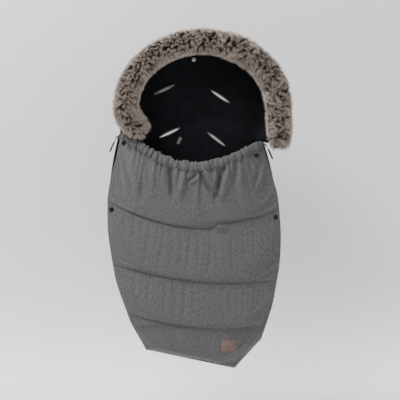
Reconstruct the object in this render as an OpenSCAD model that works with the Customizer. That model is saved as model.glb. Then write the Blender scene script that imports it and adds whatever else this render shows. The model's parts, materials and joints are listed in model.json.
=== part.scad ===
// Padded footmuff for a pushchair seat, hanging upright from the webbing loop on its back.
// X is across, +Z is up, and the front faces -Y. The origin is in the hanging loop, at the
// rear face of the back.
// All sizes are in millimetres.

/* [Sides] */
// Radius of the left side's curve, seen from the front
left_r = 763; // [755:1:775]
// Centre of the left side's curve, across
left_cx = 537; // [530:1:545]
// Centre of the left side's curve, up
left_cz = -220; // [-230:1:-210]
// Radius of the right side's curve
right_r = 791; // [783:1:800]
// Centre of the right side's curve, across
right_cx = -556; // [-564:1:-550]
// Centre of the right side's curve, up
right_cz = -289; // [-299:1:-279]

/* [Heights] */
// Line where the top folds back
hood_fold_z = 35; // [30:1:40]
// Line where the collar folds out
collar_fold_z = -142; // [-150:1:-134]
// Line where the cover folds down, at the top of the foot pocket
cover_fold_z = -533; // [-540:1:-526]
// Top end of the left zip
zip_top_left = -14; // [-20:1:-8]
// Top end of the right zip
zip_top_right = -34; // [-40:1:-28]
// Bottom ends of both zips
zip_bottom = -508; // [-514:1:-500]

/* [Fabric] */
// Thickness of the outer fabric
shell_t = 1.5; // [1:0.1:2]
// Thickness of the fleece lining
lining_t = 2.5; // [2:0.1:3]
// Thickness of the wadding in the back
back_fill = 9; // [7:0.5:11]
// Thickness of the front where it is sewn through
seam_t = 6; // [5.5:0.5:7]
// How far a quilted chamber swells beyond its seams
puff = 18; // [12:1:20]

/* [Front] */
// Depth from the rear face to the middle of the zips
zip_y = 34; // [32:1:36]
// How far the front arches out at the neck
neck_arch = 52; // [40:1:56]
// How far the front arches out at the foot pocket
foot_arch = 24; // [16:1:28]
// How far the gathered neck edge sags in the middle
neck_sag = 74; // [60:1:80]

/* [Zip] */
// Half the thickness of the zip teeth
teeth_half = 1.6; // [1.2:0.1:1.8]
// Width of each row of teeth
teeth_w = 2; // [1.5:0.1:2.5]
// Gap between the rows, where the slider's divider runs
teeth_gap = 1.2; // [1:0.1:1.4]
// Length of the slider
slider_l = 12; // [9:0.5:14]
// Length of the slider's pull
pull_l = 44; // [30:1:50]

/* [Hood and fur] */
// Half the width of the hood's back panel
hood_half = 200; // [190:1:205]
// Height of the hood's back panel above its fold
hood_h = 205; // [195:1:210]
// Depth of the hood at its top
hood_depth = 92; // [80:1:100]
// Half the width of the fur roll, seen from the front
fur_half_w = 40; // [34:1:42]
// Half the depth of the fur roll
fur_half_d = 34; // [28:1:36]

/* [Slots and trim] */
// Length of a harness slot
slot_l = 52; // [44:1:56]
// Width of a harness slot
slot_w = 8; // [6:0.5:10]
// Width of the binding round a slot
binding_w = 4; // [3:0.5:5]
// Radius of a snap button
snap_r = 6.5; // [5.5:0.5:7.5]
// Width of the leather patch
patch_w = 43; // [36:1:48]
// Height of the leather patch
patch_h = 32; // [26:1:34]
// Width of the webbing of the hanging loop
webbing_w = 25; // [20:1:30]
// Width of the non-slip panel on the rear face
grip_w = 280; // [240:1:300]
// Height of the non-slip panel
grip_h = 240; // [200:1:260]
// Middle of the non-slip panel, up
grip_z = -230; // [-250:1:-210]
// Thickness of the non-slip panel
grip_t = 2; // [1.5:0.1:2.5]

/* [Hidden] */

$fn = 360;
fold_gap = 0.6;
back_t = shell_t + back_fill + lining_t;
edge_y = zip_y + teeth_gap / 2 + teeth_w + 6;
gusset_t = 8;
tape_t = 0.8;
tape_back = 8;
casing_h = 10;
pocket_left_x = -121;
pocket_left_z = -602;
pocket_right_x = 112;
pocket_right_z = -651;
pocket_knee_x = 184;
pocket_knee_z = -572;
shoulder_left_x = -185;
shoulder_right_x = 205;
hood_cx = 16;
columns = 14;

// Sides, as the distance across at height z. Below the foot seam they run straight to the bottom corners.
function left_x(z) = left_cx - sqrt(left_r * left_r - (z - left_cz) ^ 2);
function right_x(z) = right_cx + sqrt(right_r * right_r - (z - right_cz) ^ 2);
function mix(a, b, t) = a + (b - a) * t;
function across(u, z) = mix(left_x(z), right_x(z), u);

// Lines over the front, by the share u of the way from the left side to the right
function neck_z(u) = mix(zip_top_left, zip_top_right - 3, u) - casing_h - 1 - neck_sag * sin(180 * u) ^ 1.3;
function seam_one_z(u) = mix(-197, -216, u) - 62 * sin(180 * u) ^ 0.9;
function seam_two_z(u) = mix(-371, -413, u) - 22 * sin(180 * u);

// Depth of the lining's inner face and of the outer face, in front of the rear face
function arch(z) = mix(foot_arch, neck_arch, (z - cover_fold_z) / (-60 - cover_fold_z));
function swell(u, v) = (1 - abs(2 * u - 1) ^ 5) * (1 - abs(2 * v - 1) ^ 2.6);
function inner_y(u, z) = edge_y + arch(z) * (1 - abs(2 * u - 1) ^ 2.4);
function outer_y(u, z, v, rise) = inner_y(u, z) + seam_t + rise * swell(u, v);

function share(i, n) = i / n;
function cover_low(k, u) = k == 0 ? cover_fold_z + fold_gap : k == 1 ? seam_two_z(u) : seam_one_z(u);
function cover_high(k, u) = k == 0 ? seam_two_z(u) : k == 1 ? seam_one_z(u) : collar_fold_z - fold_gap;
function cover_rise(k) = k == 2 ? puff * 0.6 : puff;
// v at which a point lies in chamber k. The topmost chamber carries on through the collar.
function chamber_v(k, u, z) = k == 2
    ? (z - seam_one_z(u)) / (neck_z(u) - seam_one_z(u))
    : (z - cover_low(k, u)) / (cover_high(k, u) - cover_low(k, u));

// Room left between the wadding and the outer fabric, which grows with the swell so that no facet pokes through
function ease(slack, lift) = slack < 0 ? -min(2.5, 4 * lift - slack) : slack;
// The wadding also stops one column short of each side
function first(slack) = slack == 0 ? 0 : 1;

// One row of points across chamber k, at the share v of its height and the depth that side gives:
// 0 lining's inner face, 1 lining's outer face, 2 shell's inner face, 3 shell's outer face
function face_y(side, inner, outer) =
    side == 0 ? inner : side == 1 ? inner + lining_t : side == 2 ? outer - shell_t : outer;
function cover_row(k, v, side, slack = 0) = [for (i = [first(slack):columns - first(slack)]) let (
    u = share(i, columns), z = mix(cover_low(k, u), cover_high(k, u), v), inner = inner_y(u, z),
    outer = outer_y(u, z, chamber_v(k, u, z), cover_rise(k)))
    [across(u, z), -face_y(side, inner, outer) - ease(slack, swell(u, chamber_v(k, u, z))), z]];
function collar_row(v, side, slack = 0) = [for (i = [first(slack):columns - first(slack)]) let (
    u = share(i, columns), z = mix(collar_fold_z + fold_gap, neck_z(u), v), inner = inner_y(u, z),
    outer = outer_y(u, z, chamber_v(2, u, z), cover_rise(2)))
    [across(u, z), -face_y(side, inner, outer) - ease(slack, swell(u, chamber_v(2, u, z))), z]];

// The foot pocket lies on the back at its sides and bottom and meets the cover at its top.
function pocket_left(v) = [mix(left_x(cover_fold_z), pocket_left_x, v), mix(cover_fold_z, pocket_left_z, v)];
function pocket_right(v) = let (turn = 0.33, w = (v - turn) / (1 - turn))
    v < turn ? [mix(right_x(cover_fold_z), pocket_knee_x, v / turn), mix(cover_fold_z, pocket_knee_z, v / turn)]
             : [mix(pocket_knee_x, pocket_right_x, w), mix(pocket_knee_z, pocket_right_z, w)];
function pocket_inner(u, v) =
    back_t + 0.3 + (edge_y + foot_arch - back_t) * sqrt(1 - v ^ 2.2) * (1 - abs(2 * u - 1) ^ 2.6);
function pocket_outer(u, v) = pocket_inner(u, v) + seam_t + (puff - 4) * swell(u, v);
function pocket_row(v, side, slack = 0) = [for (i = [first(slack):columns - first(slack)]) let (
    u = share(i, columns), a = pocket_left(v), b = pocket_right(v), inner = pocket_inner(u, v),
    y = face_y(side, inner, pocket_outer(u, v)) + ease(slack, swell(u, v)))
    [mix(a.x, b.x, u), -y, mix(a.y, b.y, u) - (v == 0 ? fold_gap : 0)]];

// The hood's edge: half an ellipse with a hanging tail at each end. a runs from 0 to 1, right to left.
ring_rx = 205;
ring_rz = 177;
ring_cx = 28;
ring_cz = 55;
tail = 0.14;
function ring_point(a) =
    a < tail ? let (t = 1 - a / tail) [ring_cx + ring_rx + 4 * t, -hood_depth + 20 * t, ring_cz - 92 * t]
    : a > 1 - tail ? let (t = (a - 1 + tail) / tail)
        [ring_cx - ring_rx + 30 * t * t, -hood_depth + 20 * t, ring_cz - 66 * t]
    : let (f = 180 * (a - tail) / (1 - 2 * tail))
        [ring_cx + ring_rx * cos(f), -hood_depth, ring_cz + ring_rz * sin(f)];
function rim_point(a) =
    a < tail ? let (t = 1 - a / tail) [hood_cx + hood_half - 10, -back_t - 1, hood_fold_z - 40 * t]
    : a > 1 - tail ? let (t = (a - 1 + tail) / tail)
        [hood_cx - hood_half + 10, -back_t - 1, hood_fold_z - 36 * t]
    : let (f = 180 * (a - tail) / (1 - 2 * tail))
        [hood_cx + (hood_half - 10) * cos(f), -back_t - 1, hood_fold_z + (hood_h - 10) * sin(f)];
hood_steps = 20;
// Outward direction of the hood's wall in the plane of the back
function hood_out(a) = let (f = 180 * (a - tail) / (1 - 2 * tail), g = min(max(f, 0), 180)) [cos(g), 0, sin(g)];
// t runs from the back panel to the hem, and depth is the distance in from the outer face
function hood_row(t, depth) = [for (i = [0:hood_steps]) let (
    a = i / hood_steps, rim = rim_point(a), hem = ring_point(a) + [0, fur_half_d + 6, 0],
    p = rim + (hem - rim) * t)
    p + hood_out(a) * (8 + 8 * sin(180 * t) - depth)];

// A closed slab between two grids of points with the same rows and columns
module slab(front, rear) {
    rows = len(front);
    cols = len(front[0]);
    count = rows * cols;
    points = concat([for (r = front) each r], [for (r = rear) each r]);
    function id(side, i, j) = side * count + i * cols + j;
    faces = [
        for (i = [0:rows - 2]) for (j = [0:cols - 2]) for (half = [0, 1])
            half == 0 ? [id(0, i, j), id(0, i + 1, j), id(0, i + 1, j + 1)]
                      : [id(0, i, j), id(0, i + 1, j + 1), id(0, i, j + 1)],
        for (i = [0:rows - 2]) for (j = [0:cols - 2]) for (half = [0, 1])
            half == 0 ? [id(1, i, j), id(1, i + 1, j + 1), id(1, i + 1, j)]
                      : [id(1, i, j), id(1, i, j + 1), id(1, i + 1, j + 1)],
        for (j = [0:cols - 2]) for (half = [0, 1])
            half == 0 ? [id(0, 0, j), id(0, 0, j + 1), id(1, 0, j + 1)]
                      : [id(0, 0, j), id(1, 0, j + 1), id(1, 0, j)],
        for (j = [0:cols - 2]) for (half = [0, 1])
            half == 0 ? [id(0, rows - 1, j), id(1, rows - 1, j + 1), id(0, rows - 1, j + 1)]
                      : [id(0, rows - 1, j), id(1, rows - 1, j), id(1, rows - 1, j + 1)],
        for (i = [0:rows - 2]) for (half = [0, 1])
            half == 0 ? [id(0, i, 0), id(1, i + 1, 0), id(0, i + 1, 0)]
                      : [id(0, i, 0), id(1, i, 0), id(1, i + 1, 0)],
        for (i = [0:rows - 2]) for (half = [0, 1])
            half == 0 ? [id(0, i, cols - 1), id(0, i + 1, cols - 1), id(1, i + 1, cols - 1)]
                      : [id(0, i, cols - 1), id(1, i + 1, cols - 1), id(1, i, cols - 1)]
    ];
    polyhedron(points, faces);
}

// A flat sheet of thickness t, cut to a shape in the plane of the back, its rear face y0 in front of the origin
module sheet_at(y0, t) translate([0, -y0, 0]) rotate([90, 0, 0]) linear_extrude(t) children();

// A strip that follows one side's curve between heights low and high
module side_strip(left, r_in, r_out, y_near, y_far, low, high) {
    r = left ? left_r : right_r;
    cz = left ? left_cz : right_cz;
    a_low = asin((low - cz) / r);
    a_high = asin((high - cz) / r);
    translate([left ? left_cx : right_cx, 0, cz]) rotate([90, 0, 0])
        rotate([0, 0, left ? 180 - a_high : a_low]) rotate_extrude(angle = a_high - a_low)
            translate([r + r_in, y_near]) square([r_out - r_in, y_far - y_near]);
}

module slot_2d(length, width) {
    square([length - width, width], center = true);
    for (s = [-1, 1]) translate([s * (length - width) / 2, 0]) circle(d = width);
}
module placed(at) translate([at[0], at[1]]) rotate(at[2]) children();
// Middle across, middle up and tilt of each slot
upper_left_slot = [-76, 107, 25];
upper_right_slot = [77, 88, -34];
lower_left_slot = [-62, -11, 25];
lower_right_slot = [67, -29, -38];
crotch_slot = [0, -430, 0];
module slot_hole(at) placed(at) slot_2d(slot_l + 2 * binding_w, slot_w + 2 * binding_w);
module slot_binding(at) color("silver") sheet_at(-1, back_t + 2.2) difference() {
    slot_hole(at);
    placed(at) slot_2d(slot_l, slot_w);
}

// Back panel, from the top fold to the bottom corners
module back_outline(inset = 0) {
    steps = 12;
    polygon(concat(
        [[pocket_right_x - inset, pocket_right_z + inset], [pocket_knee_x - inset, pocket_knee_z]],
        [for (i = [0:steps]) let (z = mix(cover_fold_z, zip_top_right, i / steps)) [right_x(z) - inset, z]],
        [[shoulder_right_x - inset, hood_fold_z - fold_gap / 2],
         [shoulder_left_x + inset, hood_fold_z - fold_gap / 2]],
        [for (i = [steps:-1:0]) let (z = mix(cover_fold_z, zip_top_left, i / steps)) [left_x(z) + inset, z]],
        [[pocket_left_x + inset, pocket_left_z + inset]]));
}
module hood_outline(inset = 0) {
    polygon([for (f = [0:9:180])
        [hood_cx + (hood_half - inset) * cos(f), hood_fold_z + fold_gap / 2 + (hood_h - inset) * sin(f)]]);
}
module back_holes() {
    slot_hole(lower_left_slot);
    slot_hole(lower_right_slot);
    slot_hole(crotch_slot);
}
module hood_holes() {
    slot_hole(upper_left_slot);
    slot_hole(upper_right_slot);
}

module back_shell() color("dimgray") sheet_at(0, shell_t) difference() {
    back_outline();
    back_holes();
}
module back_wadding() color("white") sheet_at(shell_t, back_fill) difference() {
    back_outline(4);
    back_holes();
}
module back_lining() color("#17181c") sheet_at(shell_t + back_fill, lining_t) difference() {
    back_outline();
    back_holes();
}
gusset_far = zip_y - teeth_gap / 2 - teeth_w - tape_back + 4;
function zip_top(left) = left ? zip_top_left : zip_top_right;
module gusset_shell(left) color("dimgray")
    side_strip(left, -shell_t, 0, back_t, gusset_far, zip_bottom, zip_top(left));
module left_gusset_shell() gusset_shell(true);
module right_gusset_shell() gusset_shell(false);
module gusset_lining(left) color("#17181c")
    side_strip(left, -gusset_t, -gusset_t + lining_t, back_t, gusset_far, zip_bottom, zip_top(left));
module left_gusset_lining() gusset_lining(true);
module right_gusset_lining() gusset_lining(false);

// Rows of the pocket lie closer together towards its bottom, where it curves most
pocket_rows = 7;
function pocket_v(i) = 1 - (1 - i / pocket_rows) ^ 2;
module pocket_layer(a, b, rows, slack_a = 0, slack_b = 0)
    slab([for (i = rows) pocket_row(pocket_v(i), a, slack_a)],
         [for (i = rows) pocket_row(pocket_v(i), b, slack_b)]);
module pocket_shell() color("dimgray") pocket_layer(2, 3, [0:pocket_rows]);
module pocket_wadding() color("white") pocket_layer(1, 2, [0.2, 1, 2, 3, 4], 0.8, -0.8);
module pocket_lining() color("#17181c") pocket_layer(0, 1, [0:pocket_rows]);

// Turns a piece drawn flat, facing +Z, to lie on the surface through three points, a little in front of it
module on_surface(p, px, pz, gap) {
    ex = (px - p) / norm(px - p);
    n = cross(ex, pz - p);
    ez = n / norm(n);
    ey = cross(ez, ex);
    at = p + ez * gap;
    multmatrix([[ex.x, ey.x, ez.x, at.x], [ex.y, ey.y, ez.y, at.y], [ex.z, ey.z, ez.z, at.z], [0, 0, 0, 1]])
        children();
}
// Point on the pocket's outer face
function pocket_point(u, v) = let (a = pocket_left(v), b = pocket_right(v))
    [mix(a.x, b.x, u), -pocket_outer(u, v), mix(a.y, b.y, u)];
module leather_patch() color("saddlebrown")
    on_surface(pocket_point(0.78, 0.5), pocket_point(0.83, 0.5), pocket_point(0.78, 0.45), 2)
        linear_extrude(1.4) square([patch_w, patch_h], center = true);

module lower_left_slot_binding() slot_binding(lower_left_slot);
module lower_right_slot_binding() slot_binding(lower_right_slot);
module crotch_slot_binding() slot_binding(crotch_slot);
module upper_left_slot_binding() slot_binding(upper_left_slot);
module upper_right_slot_binding() slot_binding(upper_right_slot);

module grip_panel() color("#2b2c30")
    sheet_at(-grip_t, grip_t) translate([0, grip_z]) square([grip_w, grip_h], center = true);

// Webbing loop: two sewn ends and a bow that stands off the back
loop_gap = 12;
loop_l = 64;
webbing_t = 1.6;
module hanging_loop() color("#222326")
    translate([-webbing_w / 2, 0, 0]) rotate([90, 0, 90]) linear_extrude(webbing_w) {
        for (s = [-1, 1]) translate([0, s * (loop_l / 2 - 5) - 5]) square([webbing_t, 10]);
        difference() {
            translate([0, -loop_l / 2 + 8]) square([loop_gap + webbing_t, loop_l - 16]);
            translate([-1, -loop_l / 2 + 8 + webbing_t]) square([loop_gap + 1, loop_l - 16 - 2 * webbing_t]);
        }
    }
module care_tab() color("gray")
    sheet_at(back_t, 1) translate([-35, -32]) rotate(65) square([20, 8], center = true);

// Zips. Each row of teeth stands on the edge of its tape, and the slider runs with its plates beside both rows.
row_near = zip_y - teeth_gap / 2 - teeth_w;
row_far = zip_y + teeth_gap / 2;
tape_mid = -1 - tape_t / 2;
module teeth_strip(left, row, low, high)
    side_strip(left, tape_mid - teeth_half, tape_mid + teeth_half, row, row + teeth_w, low, high);
module back_tape(left) color("black")
    side_strip(left, -tape_t - 1, -1, row_near - tape_back + 4, row_near, zip_bottom, zip_top(left));
module back_teeth(left) color("black")
    teeth_strip(left, row_near, zip_bottom + 4, zip_top(left) - 4);
module left_zip_back_tape() back_tape(true);
module right_zip_back_tape() back_tape(false);
module left_zip_back_teeth() back_teeth(true);
module right_zip_back_teeth() back_teeth(false);
module front_tape(left, low, high) color("black")
    side_strip(left, -tape_t - 1, -1, row_far + teeth_w, edge_y, low, high);
module front_teeth(left, low, high) color("black")
    teeth_strip(left, row_far, low, high);
module left_zip_cover_tape() front_tape(true, zip_bottom, collar_fold_z - fold_gap);
module right_zip_cover_tape() front_tape(false, zip_bottom, collar_fold_z - fold_gap);
module left_zip_cover_teeth() front_teeth(true, zip_bottom + 4, collar_fold_z - fold_gap);
module right_zip_cover_teeth() front_teeth(false, zip_bottom + 4, collar_fold_z - fold_gap);
module left_zip_collar_tape() front_tape(true, collar_fold_z + fold_gap, zip_top_left - 6);
module right_zip_collar_tape() front_tape(false, collar_fold_z + fold_gap, zip_top_right - 8);
module left_zip_collar_teeth() front_teeth(true, collar_fold_z + fold_gap, zip_top_left - 10);
module right_zip_collar_teeth() front_teeth(false, collar_fold_z + fold_gap, zip_top_right - 12);
module zip_top_stops() color("black") for (left = [true, false]) let (top = zip_top(left))
    teeth_strip(left, row_near, top - 3.5, top - 0.5);
module zip_bottom_stops() color("black") for (left = [true, false])
    teeth_strip(left, row_near, zip_bottom, zip_bottom + 3.5);

// Hood: flat back panel that folds about its lower edge, and a wall that curls forward to the gathered hem
module hood_back_shell() color("dimgray") sheet_at(0, shell_t) difference() {
    hood_outline();
    hood_holes();
}
module hood_back_wadding() color("white") sheet_at(shell_t, back_fill) difference() {
    hood_outline(4);
    hood_holes();
}
module hood_back_lining() color("#17181c") sheet_at(shell_t + back_fill, lining_t) difference() {
    hood_outline();
    hood_holes();
}
hood_rows = 5;
hood_wall = 8;
module hood_layer(outer, inner)
    slab([for (i = [0:hood_rows]) hood_row(i / hood_rows, outer)],
         [for (i = [0:hood_rows]) hood_row(i / hood_rows, inner)]);
module hood_shell() color("dimgray") hood_layer(0, shell_t);
module hood_wadding() color("white") hood_layer(shell_t, hood_wall - lining_t);
module hood_lining() color("#17181c") hood_layer(hood_wall - lining_t, hood_wall);

// Hem: an outer and an inner strip with the elastic between them, in front of the wall
function hem_row(off, depth) = [for (i = [0:hood_steps]) let (a = i / hood_steps)
    ring_point(a) + [0, fur_half_d + off, 0] + hood_out(a) * (hood_wall - depth)];
module hem_strip(near, far, outer, inner)
    slab([hem_row(near, outer), hem_row(far, outer)], [hem_row(near, inner), hem_row(far, inner)]);
module hood_hem() color("dimgray") {
    hem_strip(5.7, 0.7, 0, 1.5);
    hem_strip(5.7, 0.7, hood_wall - 1.5, hood_wall);
}
module hood_elastic() color("black") hem_strip(4.7, 1.7, 2.5, hood_wall - 2.5);

// Fur roll: rings round the hem's path, drawn in at both ends
fur_sides = 12;
fur_rings = 26;
function fur_scale(a) = sqrt(max(0.45, 1 - (abs(2 * a - 1)) ^ 30));
function fur_ring(a) = [for (j = [0:fur_sides - 1]) let (t = 360 * j / fur_sides)
    ring_point(a) + (hood_out(a) * fur_half_w * cos(t) + [0, -fur_half_d * sin(t), 0]) * fur_scale(a)];
module fur_trim() {
    points = [for (i = [0:fur_rings]) each fur_ring(i / fur_rings)];
    function id(i, j) = i * fur_sides + j % fur_sides;
    color("tan") polyhedron(points, [
        [for (j = [fur_sides - 1:-1:0]) id(0, j)],
        for (i = [0:fur_rings - 1]) for (j = [0:fur_sides - 1]) for (half = [0, 1])
            half == 0 ? [id(i, j), id(i, j + 1), id(i + 1, j + 1)] : [id(i, j), id(i + 1, j + 1), id(i + 1, j)],
        [for (j = [0:fur_sides - 1]) id(fur_rings, j)]]);
}

// Front cover: two full chambers and the part of the neck chamber below the collar's fold
chamber_rows = 6;
function cover_grid(side, slack = 0) = [for (k = [0:2]) for (i = [min(k, 1):chamber_rows])
    cover_row(k, i / chamber_rows, side, slack)];
module cover_shell() color("dimgray") slab(cover_grid(3), cover_grid(2));
module cover_lining() color("#17181c") slab(cover_grid(1), cover_grid(0));
module cover_wadding() color("white") for (k = [0:2])
    slab([for (i = [0:chamber_rows]) cover_row(k, mix(0.06, 0.94, i / chamber_rows), 2, -0.5)],
         [for (i = [0:chamber_rows]) cover_row(k, mix(0.06, 0.94, i / chamber_rows), 1, 0.5)]);

collar_rows = 5;
function collar_grid(side, slack = 0, low = 0, high = 1) = [for (i = [0:collar_rows])
    collar_row(mix(low, high, i / collar_rows), side, slack)];
module collar_shell() color("dimgray") slab(collar_grid(3), collar_grid(2));
module collar_lining() color("#17181c") slab(collar_grid(1), collar_grid(0));
module collar_wadding() color("white") slab(collar_grid(2, -0.5, 0.04, 0.96), collar_grid(1, 0.5, 0.04, 0.96));

// Neck edge: two strips of the casing with the elastic between them, above the collar's layers
function casing_row(up, depth) = [for (i = [0:columns]) let (u = i / columns, z = neck_z(u))
    [across(u, z), -inner_y(u, z) - depth, z + up]];
module casing_strip(low, high, outer, inner)
    slab([casing_row(low, outer), casing_row(high, outer)], [casing_row(low, inner), casing_row(high, inner)]);
module neck_casing() color("dimgray") {
    casing_strip(0.2, casing_h, seam_t, seam_t - 1.2);
    casing_strip(0.2, casing_h, 1.2, 0);
}
module neck_elastic() color("black") casing_strip(1.5, casing_h - 1.5, seam_t - 2, 2);

// Snap buttons. Each lies a little in front of the fabric that it is riveted through.
snap_h = 2.4;
module snap(p, px, pz) on_surface(p, px, pz, 0.8) rotate_extrude() polygon([
    [0, 0], [snap_r, 0], [snap_r, 1],
    for (t = [15:15:90]) [snap_r - 1.4 + 1.4 * cos(t), 1 + 1.4 * sin(t)], [0, snap_h]]);
function front_point(k, u, z) = [across(u, z), -outer_y(u, z, chamber_v(k, u, z), cover_rise(k)), z];
module snap_at(k, u, z) snap(front_point(k, u, z), front_point(k, u + 0.02, z), front_point(k, u, z + 6));
module cover_snaps() color("#1c1c1e") {
    snap_at(1, 0.045, -222);
    snap_at(1, 0.955, -245);
}
module collar_snaps() color("#1c1c1e") {
    snap_at(2, 0.045, -62);
    snap_at(2, 0.955, -82);
}

// Sliders: a plate on each side of the teeth, joined by the divider between the rows
slider_side = tape_mid;
slider_clear = teeth_half + 1;
plate_t = 1.4;
slider_drop = 6;
module slider(left) color("#18181a") {
    high = zip_top(left) - slider_drop;
    low = high - slider_l;
    near = row_near - 1;
    far = row_far + teeth_w + 1;
    side_strip(left, slider_side + slider_clear, slider_side + slider_clear + plate_t, near, far, low, high);
    side_strip(left, slider_side - slider_clear - plate_t, slider_side - slider_clear, near, far, low, high);
    outside = slider_clear + plate_t;
    side_strip(left, slider_side - outside, slider_side + outside, zip_y - 0.4, zip_y + 0.4, high - 4, high);
    for (y = [near, far - 1.5])
        side_strip(left, slider_side + slider_clear, pivot_out(), y, y + 1.5, high - 5, high - 2);
    translate(pull_pivot(left)) rotate([90, 0, 0]) cylinder(h = far - near - 0.1, r = 0.7, center = true);
}
module left_slider() slider(true);
module right_slider() slider(false);

// Pulls: a flat tab with an eye round the slider's bail, lying along the side
pull_w = 3.6;
pull_t = 1.8;
pull_lean = 24;
eye_r = 1.9;
function pivot_out() = slider_side + slider_clear + plate_t + eye_r + 1.4;
function pull_pivot(left) = let (
    r = (left ? left_r : right_r) + slider_side + slider_clear + plate_t + eye_r + 0.6,
    a = asin((zip_top(left) - slider_drop - 3.5 - (left ? left_cz : right_cz)) / r))
    [left ? left_cx - r * cos(a) : right_cx + r * cos(a), -zip_y, (left ? left_cz : right_cz) + r * sin(a)];
module pull(left) color("#101012") translate(pull_pivot(left)) rotate([0, left ? pull_lean : -pull_lean, 0])
    rotate([90, 0, 0]) translate([0, 0, -pull_w / 2]) linear_extrude(pull_w) difference() {
        union() {
            circle(r = eye_r);
            translate([-pull_t / 2, -pull_l]) square([pull_t, pull_l]);
        }
        circle(r = 0.85);
    }
module left_pull() pull(true);
module right_pull() pull(false);

back_shell();
back_wadding();
back_lining();
left_gusset_shell();
right_gusset_shell();
left_gusset_lining();
right_gusset_lining();
pocket_shell();
pocket_wadding();
pocket_lining();
leather_patch();
lower_left_slot_binding();
lower_right_slot_binding();
crotch_slot_binding();
grip_panel();
hanging_loop();
care_tab();
left_zip_back_tape();
right_zip_back_tape();
left_zip_back_teeth();
right_zip_back_teeth();
zip_top_stops();
zip_bottom_stops();
hood_back_shell();
hood_back_wadding();
hood_back_lining();
hood_shell();
hood_wadding();
hood_lining();
hood_hem();
hood_elastic();
fur_trim();
upper_left_slot_binding();
upper_right_slot_binding();
cover_shell();
cover_wadding();
cover_lining();
cover_snaps();
left_zip_cover_tape();
right_zip_cover_tape();
left_zip_cover_teeth();
right_zip_cover_teeth();
collar_shell();
collar_wadding();
collar_lining();
neck_casing();
neck_elastic();
collar_snaps();
left_zip_collar_tape();
right_zip_collar_tape();
left_zip_collar_teeth();
right_zip_collar_teeth();
left_slider();
right_slider();
left_pull();
right_pull();
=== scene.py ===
import json
import math

import bmesh
import bpy
import numpy as np
from mathutils import Matrix, Vector, noise
from mathutils.bvhtree import BVHTree
from mathutils.geometry import delaunay_2d_cdt


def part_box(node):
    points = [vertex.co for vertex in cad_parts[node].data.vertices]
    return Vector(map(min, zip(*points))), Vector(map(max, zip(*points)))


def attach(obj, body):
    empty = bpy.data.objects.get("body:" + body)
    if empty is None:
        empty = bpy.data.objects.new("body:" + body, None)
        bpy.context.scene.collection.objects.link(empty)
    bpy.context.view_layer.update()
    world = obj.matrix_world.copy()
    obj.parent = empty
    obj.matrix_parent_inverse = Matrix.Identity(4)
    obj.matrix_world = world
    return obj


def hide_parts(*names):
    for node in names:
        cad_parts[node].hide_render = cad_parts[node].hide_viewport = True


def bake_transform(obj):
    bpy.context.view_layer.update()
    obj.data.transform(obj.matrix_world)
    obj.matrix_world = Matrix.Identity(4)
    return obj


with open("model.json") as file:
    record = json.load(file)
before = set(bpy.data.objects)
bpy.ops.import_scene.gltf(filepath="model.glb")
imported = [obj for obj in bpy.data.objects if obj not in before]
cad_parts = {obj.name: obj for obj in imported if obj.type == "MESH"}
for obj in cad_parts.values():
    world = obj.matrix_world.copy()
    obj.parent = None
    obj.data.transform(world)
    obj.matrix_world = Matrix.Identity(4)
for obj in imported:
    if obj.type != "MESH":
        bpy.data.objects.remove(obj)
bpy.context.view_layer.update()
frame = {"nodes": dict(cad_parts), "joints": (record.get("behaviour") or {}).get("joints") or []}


# ---- Outer fabric of the back and the hood ----------------------------------------------------
# Melange polyester, cut as one flat back panel with a low wall up each side to the zip and a deep
# wall round the head. The wall is the hood, and its hem is gathered.

joints = {joint["name"]: joint for joint in frame["joints"]}


def across_centre(joint):
    x, _, z = joints[joint]["pos_m"]
    return x, z


left_cx, left_cz = across_centre("left_slider_run")
right_cx, right_cz = across_centre("right_slider_run")
left_radius = left_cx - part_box("left_gusset_shell")[0].x
right_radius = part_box("right_gusset_shell")[1].x - right_cx
hood_fold_z = joints["hood_fold"]["pos_m"][2]
cover_fold_z = joints["cover_fold"]["pos_m"][2]
zip_top = {"left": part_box("left_gusset_shell")[1].z, "right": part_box("right_gusset_shell")[1].z}
zip_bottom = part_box("left_zip_back_tape")[0].z
tape_start = -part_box("left_gusset_shell")[0].y
tape_end = -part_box("left_zip_cover_tape")[0].y
back_depth = -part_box("back_lining")[0].y


def left_x(z):
    return left_cx - math.sqrt(left_radius ** 2 - (z - left_cz) ** 2)


def right_x(z):
    return right_cx + math.sqrt(right_radius ** 2 - (z - right_cz) ** 2)


def mix(a, b, t):
    return a + (b - a) * t


def smooth(low, high, value):
    t = min(max((value - low) / (high - low), 0.0), 1.0)
    return t * t * (3 - 2 * t)


def wave(x, y, z, size, seed=0.0):
    """Smooth noise from -1 to 1 with bumps of about this size."""
    return noise.noise(Vector((x / size + seed, y / size + seed * 1.7, z / size - seed)))


# Corners of the foot, across and up
foot_left = (-0.121, -0.602)
foot_right = (0.112, -0.651)
foot_knee = (0.184, -0.572)


def edge_depth(z):
    """How far in front of the rear face the front's edge is sewn, at height z on the sides."""
    return mix(0.017, tape_end, smooth(foot_left[1], cover_fold_z + 0.02, z))


# The hood's hem: half an ellipse with a hanging tail at each end. a runs from 0, right, to 1, left.
ring_rx, ring_rz, ring_cx, ring_cz = 0.205, 0.177, 0.028, 0.055
ring_depth = 0.092
ring_tail = 0.14


def hem_place(a):
    """Which part of the hem a point is on, with its share down a tail or its angle round the arch."""
    if a < ring_tail:
        return "right", 1 - a / ring_tail
    if a > 1 - ring_tail:
        return "left", (a - 1 + ring_tail) / ring_tail
    return "arch", math.pi * (a - ring_tail) / (1 - 2 * ring_tail)


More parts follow.
